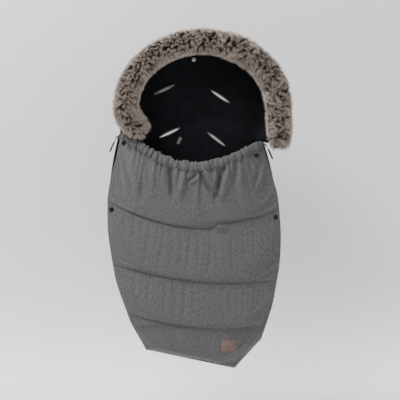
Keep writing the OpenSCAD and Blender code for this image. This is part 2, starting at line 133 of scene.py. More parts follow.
def ring_point(a):
    part, t = hem_place(a)
    if part == "right":
        return Vector((ring_cx + ring_rx + 0.004 * t, -ring_depth + 0.020 * t, ring_cz - 0.103 * t))
    if part == "left":
        return Vector((ring_cx - ring_rx + 0.046 * t * t, -ring_depth + 0.020 * t, ring_cz - 0.066 * t))
    return Vector((ring_cx + ring_rx * math.cos(t), -ring_depth, ring_cz + ring_rz * math.sin(t)))


def ring_out(a):
    turn = min(max(math.pi * (a - ring_tail) / (1 - 2 * ring_tail), 0.0), math.pi)
    return Vector((math.cos(turn), 0, math.sin(turn)))


hood_cx, hood_half, hood_high = 0.016, 0.200, 0.205


def hood_rim(a):
    """The back panel's edge behind the point a of the hem, as (across, up)."""
    part, t = hem_place(a)
    if part == "right":
        top = zip_top["right"]
        return mix(hood_cx + hood_half, right_x(top), t), mix(hood_fold_z, top + 0.012, t)
    if part == "left":
        top = zip_top["left"]
        return mix(hood_cx - hood_half, left_x(top), t), mix(hood_fold_z, top + 0.008, t)
    return hood_cx + hood_half * math.cos(t), hood_fold_z + hood_high * math.sin(t)


def steps(count, end=False):
    return [i / (count - (1 if end else 0)) for i in range(count)]


def wall_end(a):
    """The top of the head's wall, just behind the point a of the hem."""
    return ring_point(a) + Vector((0, 0.034, 0)) + ring_out(a) * 0.006


def rim_stations():
    """Points round the back's edge, clockwise from the foot's left corner: the edge in the plane of the
    back, the top of the wall that stands on it, and how much that wall bellies out."""
    found = []
    for t in steps(70):
        z = mix(cover_fold_z, zip_top["left"], t)
        found.append(((left_x(z), z), Vector((left_x(z), -wall_top(z), z)), 0.001))
    end = wall_end(1)
    start = found[-1][1]
    for t in steps(8):
        z = mix(zip_top["left"], zip_top["left"] + 0.008, t)
        found.append(((left_x(zip_top["left"]), z), start.lerp(end, t), 0.002 + 0.008 * t))
    for t in steps(130):
        found.append((hood_rim(1 - t), wall_end(1 - t), 0.014))
    end = wall_end(0)
    z = zip_top["right"]
    start = Vector((right_x(z), -wall_top(z), z))
    for t in steps(8):
        found.append(((right_x(z), mix(z + 0.012, z, t)), end.lerp(start, t), 0.010 - 0.008 * t))
    for t in steps(70):
        z = mix(zip_top["right"], cover_fold_z, t)
        found.append(((right_x(z), z), Vector((right_x(z), -wall_top(z), z)), 0.001))
    corners = [(right_x(cover_fold_z), cover_fold_z), foot_knee, foot_right, foot_left,
               (left_x(cover_fold_z), cover_fold_z)]
    for (x0, z0), (x1, z1), count in zip(corners, corners[1:], (8, 16, 34, 14)):
        for t in steps(count):
            x, z = mix(x0, x1, t), mix(z0, z1, t)
            depth = edge_depth(z) if z0 != foot_right[1] else 0.017
            found.append(((x, z), Vector((x, -depth, z)), 0.001))
    return found


def wall_top(z):
    return mix(edge_depth(z), tape_start, smooth(zip_bottom - 0.006, zip_bottom, z))


def bowl_wall(depth, fillet, inset, wall_rows):
    """Rows of points from the edge of the flat back, round a soft corner and up the wall."""
    stations = rim_stations()
    count = len(stations)
    edge = np.array([s[0] for s in stations])
    along = np.roll(edge, -2, 0) - np.roll(edge, 2, 0)
    out = np.stack([-along[:, 1], along[:, 0]], 1)
    out /= np.maximum(np.linalg.norm(out, axis=1, keepdims=True), 1e-9)
    for _ in range(3):
        out = (np.roll(out, 1, 0) + out + np.roll(out, -1, 0)) / 3
    grid = []
    for k in range(6):
        turn = math.pi / 2 * k / 5
        row = []
        for i, (_, top, _) in enumerate(stations):
            soft = min(fillet, max(-top.y - depth, 0.004) * 0.9)
            x, z = edge[i] - out[i] * (inset + fillet * (1 - math.sin(turn)))
            row.append((x, -depth - soft * (1 - math.cos(turn)), z))
        grid.append(row)
    foot = grid[-1]
    for k in range(1, wall_rows + 1):
        w = k / wall_rows
        row = []
        for i, (_, top, belly) in enumerate(stations):
            start = Vector(foot[i])
            outward = Vector((out[i][0], 0, out[i][1]))
            end = top - outward * inset
            point = start.lerp(end, w) + outward * belly * math.sin(math.pi * w)
            lift = min(belly, 0.010) * 0.25 * math.sin(math.pi * w)
            point += outward * lift * wave(point.x, point.y * 0.4, point.z, 0.035, 1.3)
            row.append(tuple(point))
        grid.append(row)
    return np.array(grid)


def inside(points, loop):
    """Which 2-D points lie inside a closed loop."""
    x, z = points[:, :1], points[:, 1:]
    x0, z0 = loop[:, 0], loop[:, 1]
    x1, z1 = np.roll(x0, -1), np.roll(z0, -1)
    crosses = (z0 > z) != (z1 > z)
    reach = (x1 - x0) * (z - z0) / np.where(z1 == z0, 1e-12, z1 - z0) + x0
    return (crosses & (x < reach)).sum(1) % 2 == 1


def bowl(name, depth, fillet, inset, wall_rows, ripple, side, grow, material):
    """The back as one sheet: flat inside its edge, with the slots left open, and its wall round it."""
    wall = bowl_wall(depth, fillet, inset, wall_rows)
    edge = wall[0][:, [0, 2]]
    loops = [np.array([lens(slot, grow, 2 * math.pi * t) for t in steps(36)]) for slot in slots]
    pitch = 0.009
    spots = [(x + 0.5 * pitch * (k % 2), z) for k, z in enumerate(np.arange(-0.66, 0.26, pitch * 0.866))
             for x in np.arange(-0.25, 0.26, pitch)]
    spots = np.array(spots)
    borders = np.concatenate([edge] + loops)
    keep = inside(spots, edge)
    for loop in loops:
        keep &= ~inside(spots, loop)
    spots = spots[keep]
    gap = np.array([np.min(np.hypot(*(borders - spot).T)) for spot in spots])
    spots, gap = spots[gap > 0.0035], gap[gap > 0.0035]
    points = [Vector(p) for p in np.concatenate([borders, spots])]
    lines, first = [], 0
    for loop in [edge] + loops:
        lines += [(first + i, first + (i + 1) % len(loop)) for i in range(len(loop))]
        first += len(loop)
    made = delaunay_2d_cdt(points, lines, [], 0, 1e-6)
    flat = np.array([tuple(p) for p in made[0]])
    middles = np.array([flat[list(face)].mean(0) for face in made[2]])
    keep = inside(middles, edge)
    for loop in loops:
        keep &= ~inside(middles, loop)
    bm = bmesh.new()
    uv = bm.loops.layers.uv.new("cloth")
    slack = np.array([np.min(np.hypot(*(borders - p).T)) for p in flat])
    verts = []
    for (x, z), room in zip(flat, slack):
        lift = ripple * smooth(0.0, 0.025, room) * (wave(x, 0, z, 0.09, 3.1) + 0.4 * wave(x, 0, z, 0.03, 7.7))
        verts.append(bm.verts.new((x, lift - depth, z)))
    for index in np.nonzero(keep)[0]:
        face = bm.faces.new([verts[i] for i in made[2][index]])
        for loop in face.loops:
            loop[uv].uv = (loop.vert.co.x, loop.vert.co.z)
    rows, cols = wall.shape[:2]
    rim = [[bm.verts.new(p) for p in row] for row in wall]
    round_at = np.concatenate([[0], np.cumsum(np.linalg.norm(np.diff(wall[-1], axis=0), axis=1))])
    high_at = np.concatenate([[0], np.cumsum(np.linalg.norm(np.diff(wall, axis=0), axis=2).mean(1))])
    for i in range(rows - 1):
        for j in range(cols):
            k = (j + 1) % cols
            face = bm.faces.new([rim[i][j], rim[i][k], rim[i + 1][k], rim[i + 1][j]])
            far = round_at[j + 1] if j + 1 < cols else round_at[j] + 0.008
            for loop, place in zip(face.loops, ((round_at[j], high_at[i]), (far, high_at[i]),
                                                (far, high_at[i + 1]), (round_at[j], high_at[i + 1]))):
                loop[uv].uv = place
    bmesh.ops.remove_doubles(bm, verts=bm.verts, dist=0.00002)
    bmesh.ops.recalc_face_normals(bm, faces=bm.faces)
    middle = max(bm.faces, key=lambda f: abs(f.normal.y) * f.calc_area())
    if middle.normal.y * side < 0:
        bmesh.ops.reverse_faces(bm, faces=bm.faces)
    mesh = bpy.data.meshes.new(name)
    bm.to_mesh(mesh)
    bm.free()
    shade_smooth(mesh)
    return new_object(name, mesh, material)


def plain_mesh(name, points, faces):
    mesh = bpy.data.meshes.new(name)
    mesh.from_pydata([tuple(p) for p in points], [], faces)
    return mesh


def cloth_lengths(grid):
    """Distances along the cloth, across the columns and over the rows, of a grid of points."""
    wide = np.linalg.norm(np.diff(grid, axis=1), axis=2).mean(0)
    high = np.linalg.norm(np.diff(grid, axis=0), axis=2).mean(1)
    return np.concatenate([[0], np.cumsum(wide)]), np.concatenate([[0], np.cumsum(high)])


def sheet_mesh(name, grid, closed=False):
    """A mesh of quads over rows of points, with a UV map in metres along the cloth."""
    rows, cols = grid.shape[:2]
    u_at, v_at = cloth_lengths(grid)
    last_step = u_at[-1] - u_at[-2]
    faces, uvs = [], []
    for i in range(rows - 1):
        for j in range(cols if closed else cols - 1):
            k = (j + 1) % cols
            u1 = u_at[j + 1] if j + 1 < cols else u_at[j] + last_step
            face = [i * cols + j, i * cols + k, (i + 1) * cols + k, (i + 1) * cols + j]
            uv = [(u_at[j], v_at[i]), (u1, v_at[i]), (u1, v_at[i + 1]), (u_at[j], v_at[i + 1])]
            faces.append(face)
            uvs.extend(uv)
    mesh = plain_mesh(name, grid.reshape(-1, 3), faces)
    layer = mesh.uv_layers.new(name="cloth")
    layer.data.foreach_set("uv", np.array(uvs, np.float32).ravel())
    return mesh


def new_object(name, mesh, *materials):
    obj = bpy.data.objects.new(name, mesh)
    bpy.context.scene.collection.objects.link(obj)
    for material in materials:
        mesh.materials.append(material)
    return obj


def shade_smooth(mesh):
    mesh.polygons.foreach_set("use_smooth", [True] * len(mesh.polygons))
    mesh.update()


def tidy_mesh(obj, near):
    """Merges doubles, turns faces outwards and shades the piece smooth."""
    bm = bmesh.new()
    bm.from_mesh(obj.data)
    bmesh.ops.remove_doubles(bm, verts=bm.verts, dist=near)
    bmesh.ops.dissolve_degenerate(bm, edges=bm.edges, dist=1e-6)
    bmesh.ops.recalc_face_normals(bm, faces=bm.faces)
    bm.to_mesh(obj.data)
    bm.free()
    shade_smooth(obj.data)


def apply_modifiers(obj):
    """Turns the piece with its modifiers into a plain mesh."""
    graph = bpy.context.evaluated_depsgraph_get()
    graph.update()
    made = bpy.data.meshes.new_from_object(obj.evaluated_get(graph))
    obj.modifiers.clear()
    old = obj.data
    obj.data = made
    bpy.data.meshes.remove(old)


def thicken(obj, thickness):
    """Gives a sheet its thickness, inwards from its faces."""
    solid = obj.modifiers.new("thickness", "SOLIDIFY")
    solid.thickness = thickness
    solid.offset = -1
    solid.use_rim = True
    apply_modifiers(obj)


# Slots, as (across, up) of the middle and the tilt in degrees, and the size of a slot at rest
slots = {
    "upper_left": (-0.076, 0.107, 25),
    "upper_right": (0.077, 0.088, -34),
    "lower_left": (-0.062, -0.011, 25),
    "lower_right": (0.067, -0.029, -38),
    "crotch": (0.0, -0.430, 0),
}
slot_length = 0.056
slot_open = {"upper_left": 0.0012, "upper_right": 0.0030, "lower_left": 0.0036, "lower_right": 0.0016,
             "crotch": 0.003}


def lens(name, grow, turn):
    """Point at an angle round a slot, a lens with pointed ends, this much larger than the opening."""
    x0, z0, tilt = slots[name]
    half, wide = slot_length / 2 + grow, slot_open[name] / 2 + grow
    x = half * math.cos(turn)
    z = wide * math.copysign(abs(math.sin(turn)) ** 1.2, math.sin(turn))
    c, s = math.cos(math.radians(tilt)), math.sin(math.radians(tilt))
    return x0 + x * c - z * s, z0 + x * s + z * c


def node_material(name):
    """A material with its Principled shader and a helper that adds and wires nodes."""
    material = bpy.data.materials.new(name)
    material.use_nodes = True
    tree = material.node_tree
    shader = tree.nodes["Principled BSDF"]
    return material, tree, shader


def add(tree, kind, inputs=None, **settings):
    """Adds a node to a tree, sets its properties, and sets or links its inputs."""
    node = tree.nodes.new(kind)
    for key, value in settings.items():
        setattr(node, key, value)
    for key, value in (inputs or {}).items():
        if isinstance(value, bpy.types.NodeSocket):
            tree.links.new(value, node.inputs[key])
        else:
            node.inputs[key].default_value = value
    return node


def group_tree(name, inputs, outputs):
    """A shader node group with named sockets, and its two end nodes."""
    tree = bpy.data.node_groups.new(name, "ShaderNodeTree")
    for key, (kind, value) in inputs.items():
        socket = tree.interface.new_socket(key, in_out="INPUT", socket_type=kind)
        if value is not None:
            socket.default_value = value
    for key, kind in outputs.items():
        tree.interface.new_socket(key, in_out="OUTPUT", socket_type=kind)
    return tree, tree.nodes.new("NodeGroupInput"), tree.nodes.new("NodeGroupOutput")


def noise_on(tree, place, size, detail=3.0, **more):
    """A noise texture's value on these coordinates."""
    values = {"Vector": place, "Scale": size, "Detail": detail, **more}
    return add(tree, "ShaderNodeTexNoise", values).outputs["Fac"]


def own_place(tree):
    return add(tree, "ShaderNodeTexCoord").outputs["Object"]


def maths(tree, operation, *values, **settings):
    """A sum, product or other function of sockets and numbers."""
    inputs = dict(enumerate(values))
    return add(tree, "ShaderNodeMath", inputs, operation=operation, **settings).outputs[0]


def dress(tree, shader, colour, height=None, strength=0.5, distance=0.0002, **values):
    """Wires a colour and a relief into a shader, and sets its plain values."""
    tree.links.new(colour, shader.inputs["Base Color"])
    if height is not None:
        bump = add(tree, "ShaderNodeBump", {"Height": height, "Strength": strength, "Distance": distance})
        tree.links.new(bump.outputs[0], shader.inputs["Normal"])
    for key, value in values.items():
        socket = shader.inputs[key.replace("_", " ")]
        if isinstance(value, bpy.types.NodeSocket):
            tree.links.new(value, socket)
        else:
            socket.default_value = value


def ramp(tree, factor, *stops):
    """A colour ramp fed by a value, with its stops given as (place, colour)."""
    node = add(tree, "ShaderNodeValToRGB", {"Fac": factor})
    band = node.color_ramp
    band.elements[0].position, band.elements[0].color = stops[0][0], (*stops[0][1], 1)
    band.elements[-1].position, band.elements[-1].color = stops[-1][0], (*stops[-1][1], 1)
    for place, colour in stops[1:-1]:
        band.elements.new(place).color = (*colour, 1)
    return node.outputs["Color"]


def mix_colour(tree, factor, a, b):
    """Blends two colours, each a socket or a colour, by a factor."""
    node = tree.nodes.new("ShaderNodeMix")
    node.data_type = "RGBA"
    for index, value in ((0, factor), (6, a), (7, b)):
        if isinstance(value, bpy.types.NodeSocket):
            tree.links.new(value, node.inputs[index])
        else:
            node.inputs[index].default_value = (*value, 1) if index else value
    return node.outputs[2]


def make_weave():
    """Plain weave of two-tone yarns: colour of the yarns, with painted shade that makes the dips between
    crossings darker and their tops lighter, and height of their crossings.
    """
    tree, source, sink = group_tree(
        "woven_yarns",
        {"Vector": ("NodeSocketVector", None), "Pitch": ("NodeSocketFloat", 900.0),
         "Dark": ("NodeSocketColor", (0.05, 0.05, 0.05, 1)), "Light": ("NodeSocketColor", (0.3, 0.3, 0.3, 1)),
         "Slub": ("NodeSocketFloat", 0.5)},
        {"Color": "NodeSocketColor", "Height": "NodeSocketFloat"})
    vector, pitch = source.outputs["Vector"], source.outputs["Pitch"]
    scaled = add(tree, "ShaderNodeVectorMath", {0: vector}, operation="SCALE")
    tree.links.new(pitch, scaled.inputs["Scale"])
    parts = add(tree, "ShaderNodeSeparateXYZ", {"Vector": scaled.outputs[0]})
    waves = [maths(tree, "SINE", maths(tree, "MULTIPLY", parts.outputs[axis], math.pi))
             for axis in ("X", "Y")]
    height = maths(tree, "MULTIPLY_ADD", maths(tree, "MULTIPLY", *waves), 0.5, 0.5)
    # Flecks are drawn out along the warp and, more faintly, along the weft
    flecks = []
    for stretch, size, detail in (((1.0, 0.16, 1.0), 620.0, 3.0), ((0.2, 1.0, 1.0), 700.0, 3.0),
                                  ((1, 1, 1), 130.0, 4.0)):
        mapped = add(tree, "ShaderNodeMapping", {"Vector": vector, "Scale": stretch}).outputs[0]
        flecks.append(noise_on(tree, mapped, size, detail, Roughness=0.7))
    tone = maths(tree, "MULTIPLY_ADD", maths(tree, "MULTIPLY", flecks[0], flecks[1]), 2.0, -0.28)
    tone = maths(tree, "ADD", tone, maths(tree, "MULTIPLY", flecks[2], source.outputs["Slub"]))
    # Painted shade: the crossings' height is mixed into the colour, so the dips between the yarns are darker
    # and their tops lighter
    tone = maths(tree, "ADD", tone, maths(tree, "MULTIPLY_ADD", height, 0.22, -0.11), use_clamp=True)
    colour = mix_colour(tree, tone, source.outputs["Dark"], source.outputs["Light"])
    tree.links.new(colour, sink.inputs["Color"])
    tree.links.new(height, sink.inputs["Height"])
    return tree


weave = make_weave()


def cloth_place(tree, plane):
    """Coordinates for a weave: the piece's own, or two of its axes for a flat piece with none."""
    if plane == "cloth":
        return add(tree, "ShaderNodeUVMap", uv_map="cloth")
    parts = add(tree, "ShaderNodeSeparateXYZ", {0: add(tree, "ShaderNodeTexCoord").outputs["Object"]})
    return add(tree, "ShaderNodeCombineXYZ", {"X": parts.outputs[plane[0]], "Y": parts.outputs[plane[1]]})


def cloth_material(name, dark, light, pitch, roughness, sheen, slub=0.5, bump=0.0004, plane="cloth"):
    """A woven fabric that follows the piece's own cloth coordinates."""
    material, tree, shader = node_material(name)
    place = cloth_place(tree, plane).outputs[0]
    cloth = add(tree, "ShaderNodeGroup", node_tree=weave)
    tree.links.new(place, cloth.inputs["Vector"])
    for key, value in (("Pitch", pitch), ("Dark", (*dark, 1)), ("Light", (*light, 1)), ("Slub", slub)):
        cloth.inputs[key].default_value = value
    rumple = maths(tree, "MULTIPLY", noise_on(tree, place, 46.0), 1.6)
    relief = maths(tree, "ADD", cloth.outputs["Height"], rumple)
    dress(tree, shader, cloth.outputs["Color"], relief, 0.6, bump, Roughness=roughness,
          Specular_IOR_Level=0.25, Sheen_Weight=sheen, Sheen_Roughness=0.5)
    return material


melange = cloth_material("melange_cloth", (0.026, 0.0255, 0.027), (0.205, 0.203, 0.209), 1250.0, 0.88, 0.06)

outer_fabric = bowl("outer_fabric", 0.0, 0.009, 0.0, 12, 0.0010, 1, 0.0010, melange)
thicken(outer_fabric, 0.0012)
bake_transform(outer_fabric)
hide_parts("back_shell", "hood_back_shell", "hood_shell", "left_gusset_shell",
            "right_gusset_shell", "back_wadding", "hood_back_wadding", "hood_wadding")


# ---- Fleece lining of the back and the hood ----------------------------------------------------
# Short black polyester fleece, sewn to the outer fabric at the zips and at the hood's hem, over the
# wadding. It follows the same bowl a few millimetres further in.

def fleece_material():
    material, tree, shader = node_material("black_fleece")
    place = own_place(tree)
    pile = noise_on(tree, place, 950.0, 4.0)
    both = maths(tree, "MULTIPLY", pile, noise_on(tree, place, 32.0, 4.0))
    colour = ramp(tree, both, (0.12, (0.0045, 0.0050, 0.0066)), (0.42, (0.0125, 0.0132, 0.0165)))
    dress(tree, shader, colour, pile, 0.8, 0.0006, Roughness=0.95, Specular_IOR_Level=0.12, Sheen_Weight=0.05)
    return material


fleece = fleece_material()
fleece_lining = bowl("fleece_lining", back_depth, 0.018, 0.004, 12, 0.0022, -1, 0.0010, fleece)
thicken(fleece_lining, 0.0018)
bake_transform(fleece_lining)
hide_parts("back_lining", "hood_back_lining", "hood_lining", "left_gusset_lining",
            "right_gusset_lining")


# ---- Front: neck, middle and foot pads ---------------------------------------------------------
# Melange outer fabric over wadding and fleece, sewn through along three seams. The neck edge is
# drawn in by elastic, so the fabric hangs from it in folds. The cloth is simulated, then cut at two seams.

neck_arch, foot_arch, seam_thick, casing_high = 0.052, 0.024, 0.006, 0.010


def neck_z(u):
    edge = mix(zip_top["left"], zip_top["right"] - 0.003, u) - casing_high - 0.001
    return edge - 0.074 * math.sin(math.pi * u) ** 1.3


def seam_one_z(u):
    # The sewing starts anew right of the middle, a few millimetres higher
    restart = 0.007 * smooth(0.665, 0.700, u) * (1 - smooth(0.72, 0.95, u))
    return mix(-0.197, -0.216, u) - 0.062 * math.sin(math.pi * u) ** 0.9 + restart


def seam_two_z(u):
    return mix(-0.371, -0.413, u) - 0.022 * math.sin(math.pi * u)


def seam_three_z(u):
    return mix(-0.503, -0.533, u) - 0.020 * math.sin(math.pi * u) ** 0.9


def side_inset(z):
    """How far the front's edge lies inside the zip. It shows the zip at the top and covers it below."""
    return mix(-0.004, 0.006, smooth(-0.20, -0.06, z))


def front_side(z, left):
    fold = cover_fold_z
    if z >= fold:
        slack = smooth(fold, fold + 0.05, z)
        inset = side_inset(z) + 0.0030 * slack * wave(z, 0, 0, 0.075, 4.4 if left else 9.2)
        return left_x(z) + inset if left else right_x(z) - inset
    inset = side_inset(fold)
    if left:
        return mix(left_x(fold), foot_left[0], (fold - z) / (fold - foot_left[1])) + inset
    if z > foot_knee[1]:
        return mix(right_x(fold), foot_knee[0], (fold - z) / (fold - foot_knee[1])) - inset
    return mix(foot_knee[0], foot_right[0], (foot_knee[1] - z) / (foot_knee[1] - foot_right[1])) - inset


def sewn_depth(u, z):
    """Depth of the lining's inner face in front of the rear face."""
    if z < cover_fold_z:
        bottom = mix(foot_left[1], foot_right[1], u)
        v = min(max((cover_fold_z - z) / (cover_fold_z - bottom), 0), 1)
        crown = (tape_end + foot_arch - 0.017) * math.sqrt(max(1 - v ** 2.2, 0))
        return mix(0.015, edge_depth(z), abs(2 * u - 1) ** 6) + crown * (1 - abs(2 * u - 1) ** 2.6)
    height = (z - cover_fold_z) / (-0.060 - cover_fold_z)
    return edge_depth(z) + mix(foot_arch, neck_arch, height) * (1 - abs(2 * u - 1) ** 2.4)


chambers = [  # name, lower line, upper line, rows
    ("foot", lambda u: mix(foot_left[1], foot_right[1], u), seam_three_z, 30),
    ("lower", seam_three_z, seam_two_z, 34),
    ("middle", seam_two_z, seam_one_z, 36),
    ("neck", seam_one_z, neck_z, 48),
]
columns = 116
front_rows, row_chamber, row_share = [], [], []
for index, (_, low, high, count) in enumerate(chambers):
    for i in range(0 if index == 0 else 1, count + 1):
        v = i / count
        front_rows.append([mix(low(j / columns), high(j / columns), v) for j in range(columns + 1)])
        row_chamber.append(index)
        row_share.append(v)
row_count = len(front_rows)
seam_rows = [sum(c[3] for c in chambers[:k + 1]) for k in range(3)]


# Creases that run down from the gathers, each as (top across, up, foot across, up, width, depth)
creases = [
    (-0.184, -0.086, -0.154, -0.181, 0.0075, 0.0060), (-0.120, -0.120, -0.112, -0.165, 0.0070, 0.0030),
    (-0.055, -0.115, -0.050, -0.195, 0.0090, 0.0090), (-0.034, -0.125, -0.040, -0.178, 0.0060, 0.0060),
    (0.010, -0.128, -0.016, -0.150, 0.0060, 0.0055), (0.027, -0.128, 0.062, -0.188, 0.0070, 0.0085),
    (0.079, -0.125, 0.062, -0.202, 0.0075, 0.0085), (0.118, -0.115, 0.112, -0.160, 0.0070, 0.0040),
    (0.186, -0.099, 0.165, -0.164, 0.0080, 0.0055),
]


def gather_fold(u, v, x, z):
    """Depth of the folds that hang from the drawn-up neck: close tucks at its edge, and long creases."""
    held, hem = 1 - abs(2 * u - 1) ** 7, 1 - v ** 12
    tucks = math.sin(2 * math.pi * (21 * u + 1.1 * wave(u, 0, 0, 0.09, 3.3)))
    depth = 0.0038 * v ** 5 * tucks + 0.0075 * v ** 0.8 * wave(x, 0, z * 0.45, 0.085, 6.1)
    for x0, z0, x1, z1, wide, deep in creases:
        t = (z0 - z) / (z0 - z1)
        along = smooth(-0.9, 0.1, t) * (1 - smooth(0.55, 1.15, t))
        off = x - mix(x0, x1, t)
        fold = math.exp(-(off / wide) ** 2) - 0.7 * math.exp(-((off - 1.9 * wide) / (1.5 * wide)) ** 2)
        depth -= 1.6 * deep * along * fold * hem
    return held * depth


def front_grid(thick, swell):
    """The front's skin before it is simulated: sewn lines, a little swell, and the gathers' first folds."""
    grid = np.zeros((row_count, columns + 1, 3))
    for i, row in enumerate(front_rows):
        v, kind = row_share[i], row_chamber[i]
        for j, z in enumerate(row):
            u = j / columns
            left, right = front_side(z, True), front_side(z, False)
            x = mix(left, right, u)
            rise = (1 - abs(2 * u - 1) ** 8) * (1 - abs(2 * v - 1) ** 2.4)
            y = sewn_depth(u, z) + thick + swell * rise
            if kind == 3:
                y += gather_fold(u, v, x, z)
            # Pinched pleat where the first seam was sewn in two runs
            near = math.exp(-((x - 0.081) / 0.014) ** 2 - ((z + 0.268) / 0.016) ** 2)
            y += 0.0100 * near * math.sin((z + 0.268) / 0.006 + 1.2)
            grid[i, j] = (x, -y, z)
    return grid


cloth_settings = {
    "quality": 6, "mass": 0.15, "tension_stiffness": 30, "compression_stiffness": 30, "shear_stiffness": 8,
    "bending_stiffness": 0.08, "air_damping": 1.5, "vertex_group_mass": "sewn",
    "vertex_group_shrink": "fullness", "shrink_min": -0.010, "shrink_max": -0.14, "use_pressure": True,
    "uniform_pressure_force": 4.0,
}


def simulate_skin(grid, frames):
    """Lets the cloth swell between its sewn lines and buckle where it is gathered."""
    rows, cols = grid.shape[:2]
    mesh = sheet_mesh("skin", grid)
    skin = new_object("skin", mesh)
    pins = skin.vertex_groups.new(name="sewn")
    full = skin.vertex_groups.new(name="fullness")
    for i in range(rows):
        for j in range(cols):
            k = i * cols + j
            u = j / (cols - 1)
            if i in (0, rows - 1) or j in (0, cols - 1) or i in seam_rows:
                pins.add([k], 1.0, "REPLACE")
            gather = row_share[i] ** 2.2 if row_chamber[i] == 3 else 0.0
            full.add([k], gather * (1 - abs(2 * u - 1) ** 8), "REPLACE")
    cloth = skin.modifiers.new("cloth", "CLOTH")
    for key, value in cloth_settings.items():
        setattr(cloth.settings, key, value)
    cloth.settings.effector_weights.gravity = 0.6
    cloth.collision_settings.use_collision = False
    scene = bpy.context.scene
    scene.frame_start, scene.frame_end = 1, frames
    cloth.point_cache.frame_start, cloth.point_cache.frame_end = 1, frames
    for f in range(1, frames + 1):
        scene.frame_set(f)
    graph = bpy.context.evaluated_depsgraph_get()
    shown = skin.evaluated_get(graph).data
    found = np.zeros(len(shown.vertices) * 3)
    shown.vertices.foreach_get("co", found)
    bpy.data.objects.remove(skin)
    scene.frame_set(1)
    return found.reshape(rows, cols, 3)


start_grid = front_grid(seam_thick, 0.010)
skin_grid = simulate_skin(start_grid, 24)
moved = skin_grid - start_grid
reach = np.linalg.norm(moved, axis=2, keepdims=True)
skin_grid = start_grid + moved * np.minimum(1, 0.024 / np.maximum(reach, 1e-9))
lining_grid = front_grid(0.0, 0.0)
lining_grid[..., 0], lining_grid[..., 2] = skin_grid[..., 0], skin_grid[..., 2]
lining_grid[..., 1] = np.maximum(lining_grid[..., 1], skin_grid[..., 1] + 0.0035)


def refine(grid):
    """Twice the points each way, on a smooth curve through the given ones."""
    for axis in (0, 1):
        g = np.moveaxis(grid, axis, 0)
        before = np.concatenate([2 * g[:1] - g[1:2], g[:-1]])
        after = np.concatenate([g[1:], 2 * g[-1:] - g[-2:-1]])
        middle = (9 * (g[:-1] + g[1:]) - before[:-1] - after[1:]) / 16
        both = np.empty((2 * len(g) - 1,) + g.shape[1:])
        both[::2], both[1::2] = g, middle
        grid = np.moveaxis(both, 0, axis)
    return grid


def pad_mesh(name, front, rear):
    """A closed pad between its outer skin and its lining, with the lining as the second material."""
    rows, cols = front.shape[:2]
    count = rows * cols
    points = np.concatenate([front.reshape(-1, 3), rear.reshape(-1, 3)])
    faces, kinds = [], []
    for i in range(rows - 1):
        for j in range(cols - 1):
            a, b, c, d = i * cols + j, i * cols + j + 1, (i + 1) * cols + j + 1, (i + 1) * cols + j
            faces += [[a, b, c, d], [count + d, count + c, count + b, count + a]]
            kinds += [0, 1]
    rim = [(0, j) for j in range(cols)] + [(i, cols - 1) for i in range(1, rows)]
    rim += [(rows - 1, j) for j in range(cols - 2, -1, -1)] + [(i, 0) for i in range(rows - 2, 0, -1)]
    for (i0, j0), (i1, j1) in zip(rim, rim[1:] + rim[:1]):
        a, b = i0 * cols + j0, i1 * cols + j1
        faces.append([b, a, count + a, count + b])
        kinds.append(0)
    mesh = plain_mesh(name, points, faces)
    mesh.polygons.foreach_set("material_index", kinds)
    u_at, v_at = cloth_lengths(front)
    layer = mesh.uv_layers.new(name="cloth")
    index = np.zeros(len(mesh.loops), np.int64)
    mesh.loops.foreach_get("vertex_index", index)
    index %= count
    uv = np.stack([u_at[index % cols], v_at[index // cols]], 1).astype(np.float32)
    layer.data.foreach_set("uv", uv.ravel())
    shade_smooth(mesh)
    return mesh


def front_pad(name, first, last):
    """One pad of the front, between two rows of the grid."""
    front, rear = refine(skin_grid[first:last + 1]), refine(lining_grid[first:last + 1])
    return new_object(name, pad_mesh(name, front, rear), melange, fleece)


foot_pad = front_pad("foot_pad", 0, seam_rows[1])
middle_pad = front_pad("middle_pad", seam_rows[1], seam_rows[2])
neck_pad = front_pad("neck_pad", seam_rows[2], row_count - 1)
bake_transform(foot_pad)
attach(middle_pad, "front_cover")
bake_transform(neck_pad)
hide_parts("pocket_shell", "pocket_wadding", "pocket_lining")
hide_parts("cover_shell", "cover_wadding", "cover_lining")
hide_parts("collar_shell", "collar_wadding", "collar_lining")


# ---- Bindings of the harness slots -------------------------------------------------------------
# Pale grey twill tape, folded over the cut edges of each slot and sewn through the whole back. It
# makes two soft lips on the front, a sleeve through the wadding and a narrow rim on the rear face.

binding_tape = cloth_material("binding_tape", (0.085, 0.085, 0.088), (0.36, 0.36, 0.365), 1500.0, 0.75,
                              0.05, 0.35)
lip_profile = [(0.0060, 0.0004), (0.0054, -0.0012), (0.0034, -0.0021), (0.0014, -0.0018), (0.0002, -0.0004),
               (0.0, 0.0040), (0.0, 0.0110), (0.0003, 0.0146), (0.0014, 0.0158), (0.0036, 0.0158),
               (0.0054, 0.0150), (0.0054, 0.0140), (0.0018, 0.0120), (0.0016, 0.0020), (0.0060, 0.0004)]
lip_width = 0.68
for name in slots:
    rows = []
    for grow, y in lip_profile:
        grow *= lip_width
        row = []
        for t in steps(60):
            x, z = lens(name, grow, 2 * math.pi * t)
            pucker = 0.0004 * wave(x, y, z, 0.006, 4.0)
            row.append((x, y - back_depth - 0.0012 + pucker, z))
        rows.append(row)
    node = name + "_slot_binding"
    binding = new_object(name + "_binding", sheet_mesh(name, np.array(rows), closed=True), binding_tape)
    tidy_mesh(binding, 0.00002)
    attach(binding, "hood" if name.startswith("upper") else "back")
    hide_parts(node)


# ---- Neck casing ------------------------------------------------------------------------------
# A narrow channel of the outer fabric along the neck edge, drawn up by the elastic inside it into
# close puckers. It is sewn to the top of the front.

